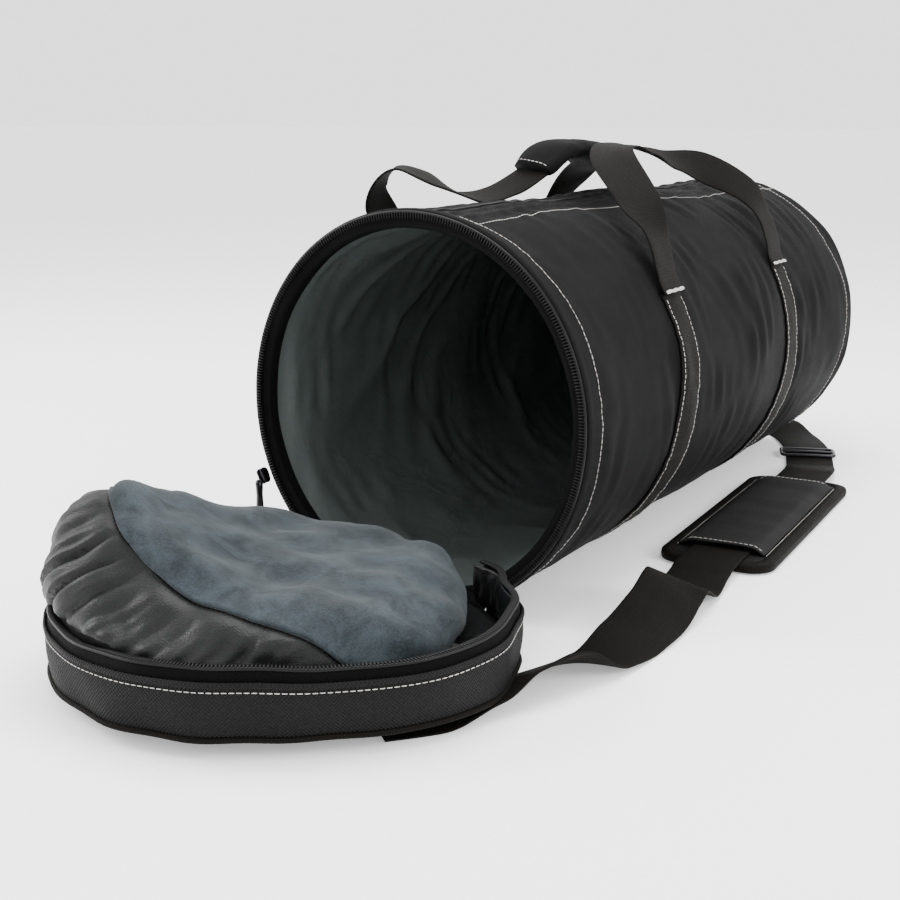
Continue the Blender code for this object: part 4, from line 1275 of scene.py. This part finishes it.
def strap():
    """The strap from its front end past the mouth, through the pad and up the rear end."""
    middle = Vector((PAD_CENTRE[0], PAD_CENTRE[1], 0.0096))
    in_pad = [(tuple(middle + PAD_ALONG * reach), (PAD_ALONG.y, -PAD_ALONG.x, 0.0))
              for reach in (-PAD_LENGTH / 2, 0.0, PAD_LENGTH / 2)]
    stations = [laid(0.1020, -0.548, -50), laid(0.1260, -0.520, -36),
                laid(0.1440, -0.486, -24, 12), laid(0.1570, -0.456, -16, 28),
                laid(0.1690, -0.425, -12, 30), laid(0.1800, -0.385, -10, 4),
                laid(0.1850, -0.340, -8, -14), laid(0.1870, -0.300, -2, -26, 0.002),
                laid(0.1855, -0.270, 6, -27, 0.010), laid(0.1830, -0.250, 8, -16, 0.014),
                laid(0.1800, -0.222, 0, -5, 0.003), laid(0.1755, -0.186, 0, 0, 0.006), *in_pad,
                laid(0.1545, 0.190, 4, 0, 0.0088), laid(0.1400, 0.240, 12),
                laid(0.1150, 0.310, 20), laid(0.0840, 0.365, 34), laid(0.0520, 0.396, 55, 12),
                ((0.0240, 0.406, 0.040), (0.35, 0.75, 0.45)),
                ((0.0060, 0.394, 0.066), (0.95, 0.20, 0.10)),
                ((0.0, 0.3720, 0.094), (1, 0, 0)), ((0.0, 0.3590, 0.123), (1, 0, 0))]
    made, path, _, _ = webbing("strap_webbing", stations, STRAP_WIDTH, STRAP_THICKNESS, "root",
                               0.0025, floor=0.0003, replaces=["shoulder_strap"])


def folded_end(name, matrix, lower, upper, thickness, width, body, replaces):
    """Webbing folded round a ring's bar, with both ends running back along -X."""
    reach = 0.0019 + thickness / 2
    path = [(-lower * share, 0, -reach) for share in (1.0, 0.66, 0.33)]
    path += [(reach * math.cos(turn), 0, reach * math.sin(turn))
             for turn in np.radians(np.linspace(-90.0, 90.0, 9))]
    path += [(-upper * share, 0, reach) for share in (0.33, 0.66, 1.0)]
    path = moved(matrix, path)
    side = np.tile(turned(matrix, (0, 1, 0)), (len(path), 1))
    points = carried(path, np.cross(side, tangents(path)), side, flat_profile(width, thickness))
    piece(name, points, WEBBING, body, "rod", replaces=[replaces])
    far, close, edge = -upper * 0.92, -upper * 0.62, width * 0.42
    lines = [[(x, y) for y in np.linspace(-edge, edge, 12)] for x in (far, close)]
    lines += [[(x, y) for x in np.linspace(far, close, 6)] for y in (-edge, edge)]
    level = reach + thickness / 2 + STITCH_LIFT
    runs = [run_of(moved(matrix, [(x, y, level) for x, y in line]), turned(matrix, UP))
            for line in lines]
    stitched(name + "_stitch", runs, body, pitch=0.0032, length=0.0024, width=0.0007)


def wire_ring(name, matrix, inner, reach, body, replaces):
    """A rectangular wire ring with rounded corners."""
    corner, half = 0.003, inner + 0.0015
    path = [(x + corner * math.cos(turn), y + corner * math.sin(turn), 0)
            for x, y, start in ((corner, half - corner, 180), (reach - corner, half - corner, 90),
                                (reach - corner, corner - half, 0), (corner, corner - half, 270))
            for turn in np.radians(start - 15.0 * np.arange(7))]
    path = moved(matrix, path)
    swept(name, path, np.tile(turned(matrix, UP), (len(path), 1)), round_profile(WIRE, 12),
          RING_METAL, body, closed=True, replaces=[replaces])


def strap_ends():
    """Both ends of the strap: tab, ring and folded webbing."""
    rear_bar = Vector((0.0, centre_of("rear_ring")[1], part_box("rear_ring")[1].z - 0.0015))
    lean = Vector((0.924, 0.383, 0)).normalized()
    front_bar = Vector(centre_of("front_ring")) - lean * 0.008
    for place, matrix, strap_run, thickness, fixed in (
            ("rear", placing(rear_bar, (0, 0, -1), (0, 1, 0)), 0.072, 0.0014, "root"),
            ("front", placing(front_bar, lean, UP), 0.024, 0.0012, "flap")):
        swing = f"{place}_ring"
        folded_end(f"{place}_tab", matrix, 0.042, 0.042, thickness, STRAP_WIDTH - 0.002, fixed,
                   f"{place}_ring_tab")
        wire_ring(f"{place}_wire_ring", matrix, 0.0285, 0.016, swing, swing)
        away = matrix @ Matrix.Translation((0.016, 0, 0)) @ Matrix.Rotation(math.pi, 4, "Z")
        folded_end(f"{place}_strap_fold", away, strap_run, strap_run * 0.75, thickness,
                   STRAP_WIDTH, swing, f"{place}_strap_end")


def rounded_outline(length, width, corner, count=8):
    return np.array([(x * (length / 2 - corner) + corner * math.cos(turn),
                      y * (width / 2 - corner) + corner * math.sin(turn))
                     for x, y, start in ((1, 1, 0), (-1, 1, 90), (-1, -1, 180), (1, -1, 270))
                     for turn in np.radians(start + np.linspace(0, 90, count))])


def shoulder_pad():
    """The pad: a stuffed body with a bound edge, and a sewn sleeve that the strap runs through."""
    matrix = placing((PAD_CENTRE[0], PAD_CENTRE[1], 0.0), PAD_ALONG, UP)
    outline = rounded_outline(PAD_LENGTH, PAD_WIDTH, PAD_CORNER)
    crumple = ripples(101, 0.03, 0.07)
    rings = []
    for share, z in ((0.10, 0.0006), (0.5, 0.0006), (0.90, 0.0006), (0.985, 0.0020),
                     (1.0, 0.0042), (0.985, 0.0064), (0.94, 0.0076), (0.80, 0.0082),
                     (0.5, 0.0082), (0.1, 0.0082)):
        rise = 0.0004 * crumple(*(outline * share).T) * (z > 0.005)
        rings.append(moved(matrix, np.column_stack([outline * share, z + rise])))
    made = piece("pad_body", np.array(rings), GUSSET, "shoulder_pad", "rod",
                 replaces=["shoulder_pad_base"])
    edge = rounded_outline(PAD_LENGTH - 0.001, PAD_WIDTH - 0.001, PAD_CORNER, 12)
    edge = moved(matrix, [(x, y, 0.0046) for x, y in edge])
    binding = [(0.0015, -0.0030), (0.0022, 0.0), (0.0015, 0.0032), (-0.0040, 0.0044),
               (-0.0090, 0.0046), (-0.0092, 0.0040), (-0.0040, 0.0036), (0.0, 0.0),
               (-0.0040, -0.0030), (-0.0090, -0.0036), (-0.0090, -0.0040), (-0.0040, -0.0038)]
    swept("pad_binding", edge, unit(edge - [PAD_CENTRE[0], PAD_CENTRE[1], 0.0042]), binding,
          WEBBING, "shoulder_pad", closed=True)
    along = np.linspace(-PAD_LENGTH / 2 + 0.028, PAD_LENGTH / 2 - 0.028, 60)
    across = np.linspace(-1.0, 1.0, 31)
    crown = 0.0122 + 0.0018 * (1 - across ** 4) - 0.0036 * ease(np.abs(across), 0.72, 1.0)
    waver = ripples(102, 0.03, 0.08)
    half = 0.0370
    points = [moved(matrix, np.column_stack([np.full_like(across, x), across * half,
                                             crown + 0.0005 * waver(x, across * 0.036)]))
              for x in along]
    sheet_of("pad_sleeve", np.array(points), GUSSET, "shoulder_pad", 0.0016, True,
             replaces=["shoulder_pad_sleeve"])
    ends = [[(x, side * half, z + 0.0021) for side, z in zip(across[1:-1], crown[1:-1])]
            for x in (along[0] + 0.004, along[-1] - 0.004)]
    stitched("pad_sleeve_stitch", [run_of(moved(matrix, line), UP) for line in ends],
             "shoulder_pad")
    edges = [[(x, side, 0.0092) for x in along] for side in (-0.0390, 0.0390)]
    stitched("pad_side_stitch", [run_of(moved(matrix, line), UP) for line in edges],
             "shoulder_pad", pitch=0.0040, length=0.0026, width=0.00045)


def adjuster():
    """The strap's slide: a rounded frame with a grooved middle bar."""
    matrix = placing(centre_of("strap_adjuster"), (-0.36, 0.93, 0), UP)
    frame_path = moved(matrix, [(x, y, 0) for x, y in rounded_outline(0.0305, 0.0565, 0.005, 7)])
    bar_path = moved(matrix, [(0, y, 0.0002 + 0.0006 * (1 - (y / 0.028) ** 2))
                              for y in np.linspace(-0.0275, 0.0275, 24)])
    turn = np.arange(12) * math.pi / 6
    profile = np.stack([0.0016 * np.sign(np.sin(turn)) * np.abs(np.sin(turn)) ** 0.6,
                        0.0018 * np.sign(np.cos(turn)) * np.abs(np.cos(turn)) ** 0.6], 1)
    for name, path, closed, replaces in (("slide_frame", frame_path, True, ["strap_adjuster"]),
                                         ("slide_middle_bar", bar_path, False, [])):
        swept(name, path, np.tile(UP, (len(path), 1)), profile, RING_METAL, "strap_adjuster",
              closed=closed, replaces=replaces)


# ---------------------------------------------------------------- stage

def aimed(name, data, place, toward):
    """A lamp or camera at a place, looking along a direction."""
    made = bpy.data.objects.new(name, data)
    made.location = place
    made.rotation_mode = "QUATERNION"
    made.rotation_quaternion = toward.to_track_quat("-Z", "Y")
    bpy.context.scene.collection.objects.link(made)
    return made


def stage():
    """A pale floor, soft studio light and the camera."""
    shape = bmesh.new()
    bmesh.ops.create_grid(shape, x_segments=1, y_segments=1, size=40.0)
    mesh = bpy.data.meshes.new("floor")
    shape.to_mesh(mesh)
    shape.free()
    floor = bpy.data.objects.new("floor", mesh)
    floor.location = (0, 0, -0.0002)
    bpy.context.scene.collection.objects.link(floor)
    paint = bpy.data.materials.new("floor_paint")
    paint.use_nodes = True
    for socket, value in (("Base Color", (0.9, 0.9, 0.9, 1)), ("Roughness", 0.9),
                          ("Emission Color", (1, 1, 1, 1)), ("Emission Strength", 0.30)):
        paint.node_tree.nodes["Principled BSDF"].inputs[socket].default_value = value
    mesh.materials.append(paint)
    world = bpy.data.worlds.new("studio")
    bpy.context.scene.world = world
    world.use_nodes = True
    world.node_tree.nodes["Background"].inputs[0].default_value = (1.0, 1.0, 1.0, 1.0)
    world.node_tree.nodes["Background"].inputs[1].default_value = 2.1
    for name, place, size, power in (("overhead", (0.0, 0.1, 1.9), 1.4, 60.0),
                                     ("left_window", (-1.7, -0.9, 1.1), 0.9, 42.0),
                                     ("right_window", (1.9, -0.3, 1.0), 0.8, 30.0),
                                     ("front", (0.2, -2.4, 1.2), 1.0, 10.0)):
        lamp = bpy.data.lights.new(name, "AREA")
        lamp.size = size
        lamp.energy = power
        aimed(name, lamp, place, Vector((0.0, -0.1, 0.12)) - Vector(place))
    lens = bpy.data.cameras.new("camera")
    lens.lens = 55.26
    azimuth, elevation = math.radians(30.82), math.radians(13.58)
    toward = Vector((-math.sin(azimuth) * math.cos(elevation),
                     math.cos(azimuth) * math.cos(elevation), -math.sin(elevation)))
    camera = aimed("camera", lens, (0.5484, -1.2053, 0.3681), toward)
    bpy.context.scene.camera = camera


stage()
tube()
rear_lining()
mouth()
mouth_slider()
top_zip()
handles()
flap()
hinge_fabric()
pillow()
strap()
strap_ends()
shoulder_pad()
adjuster()
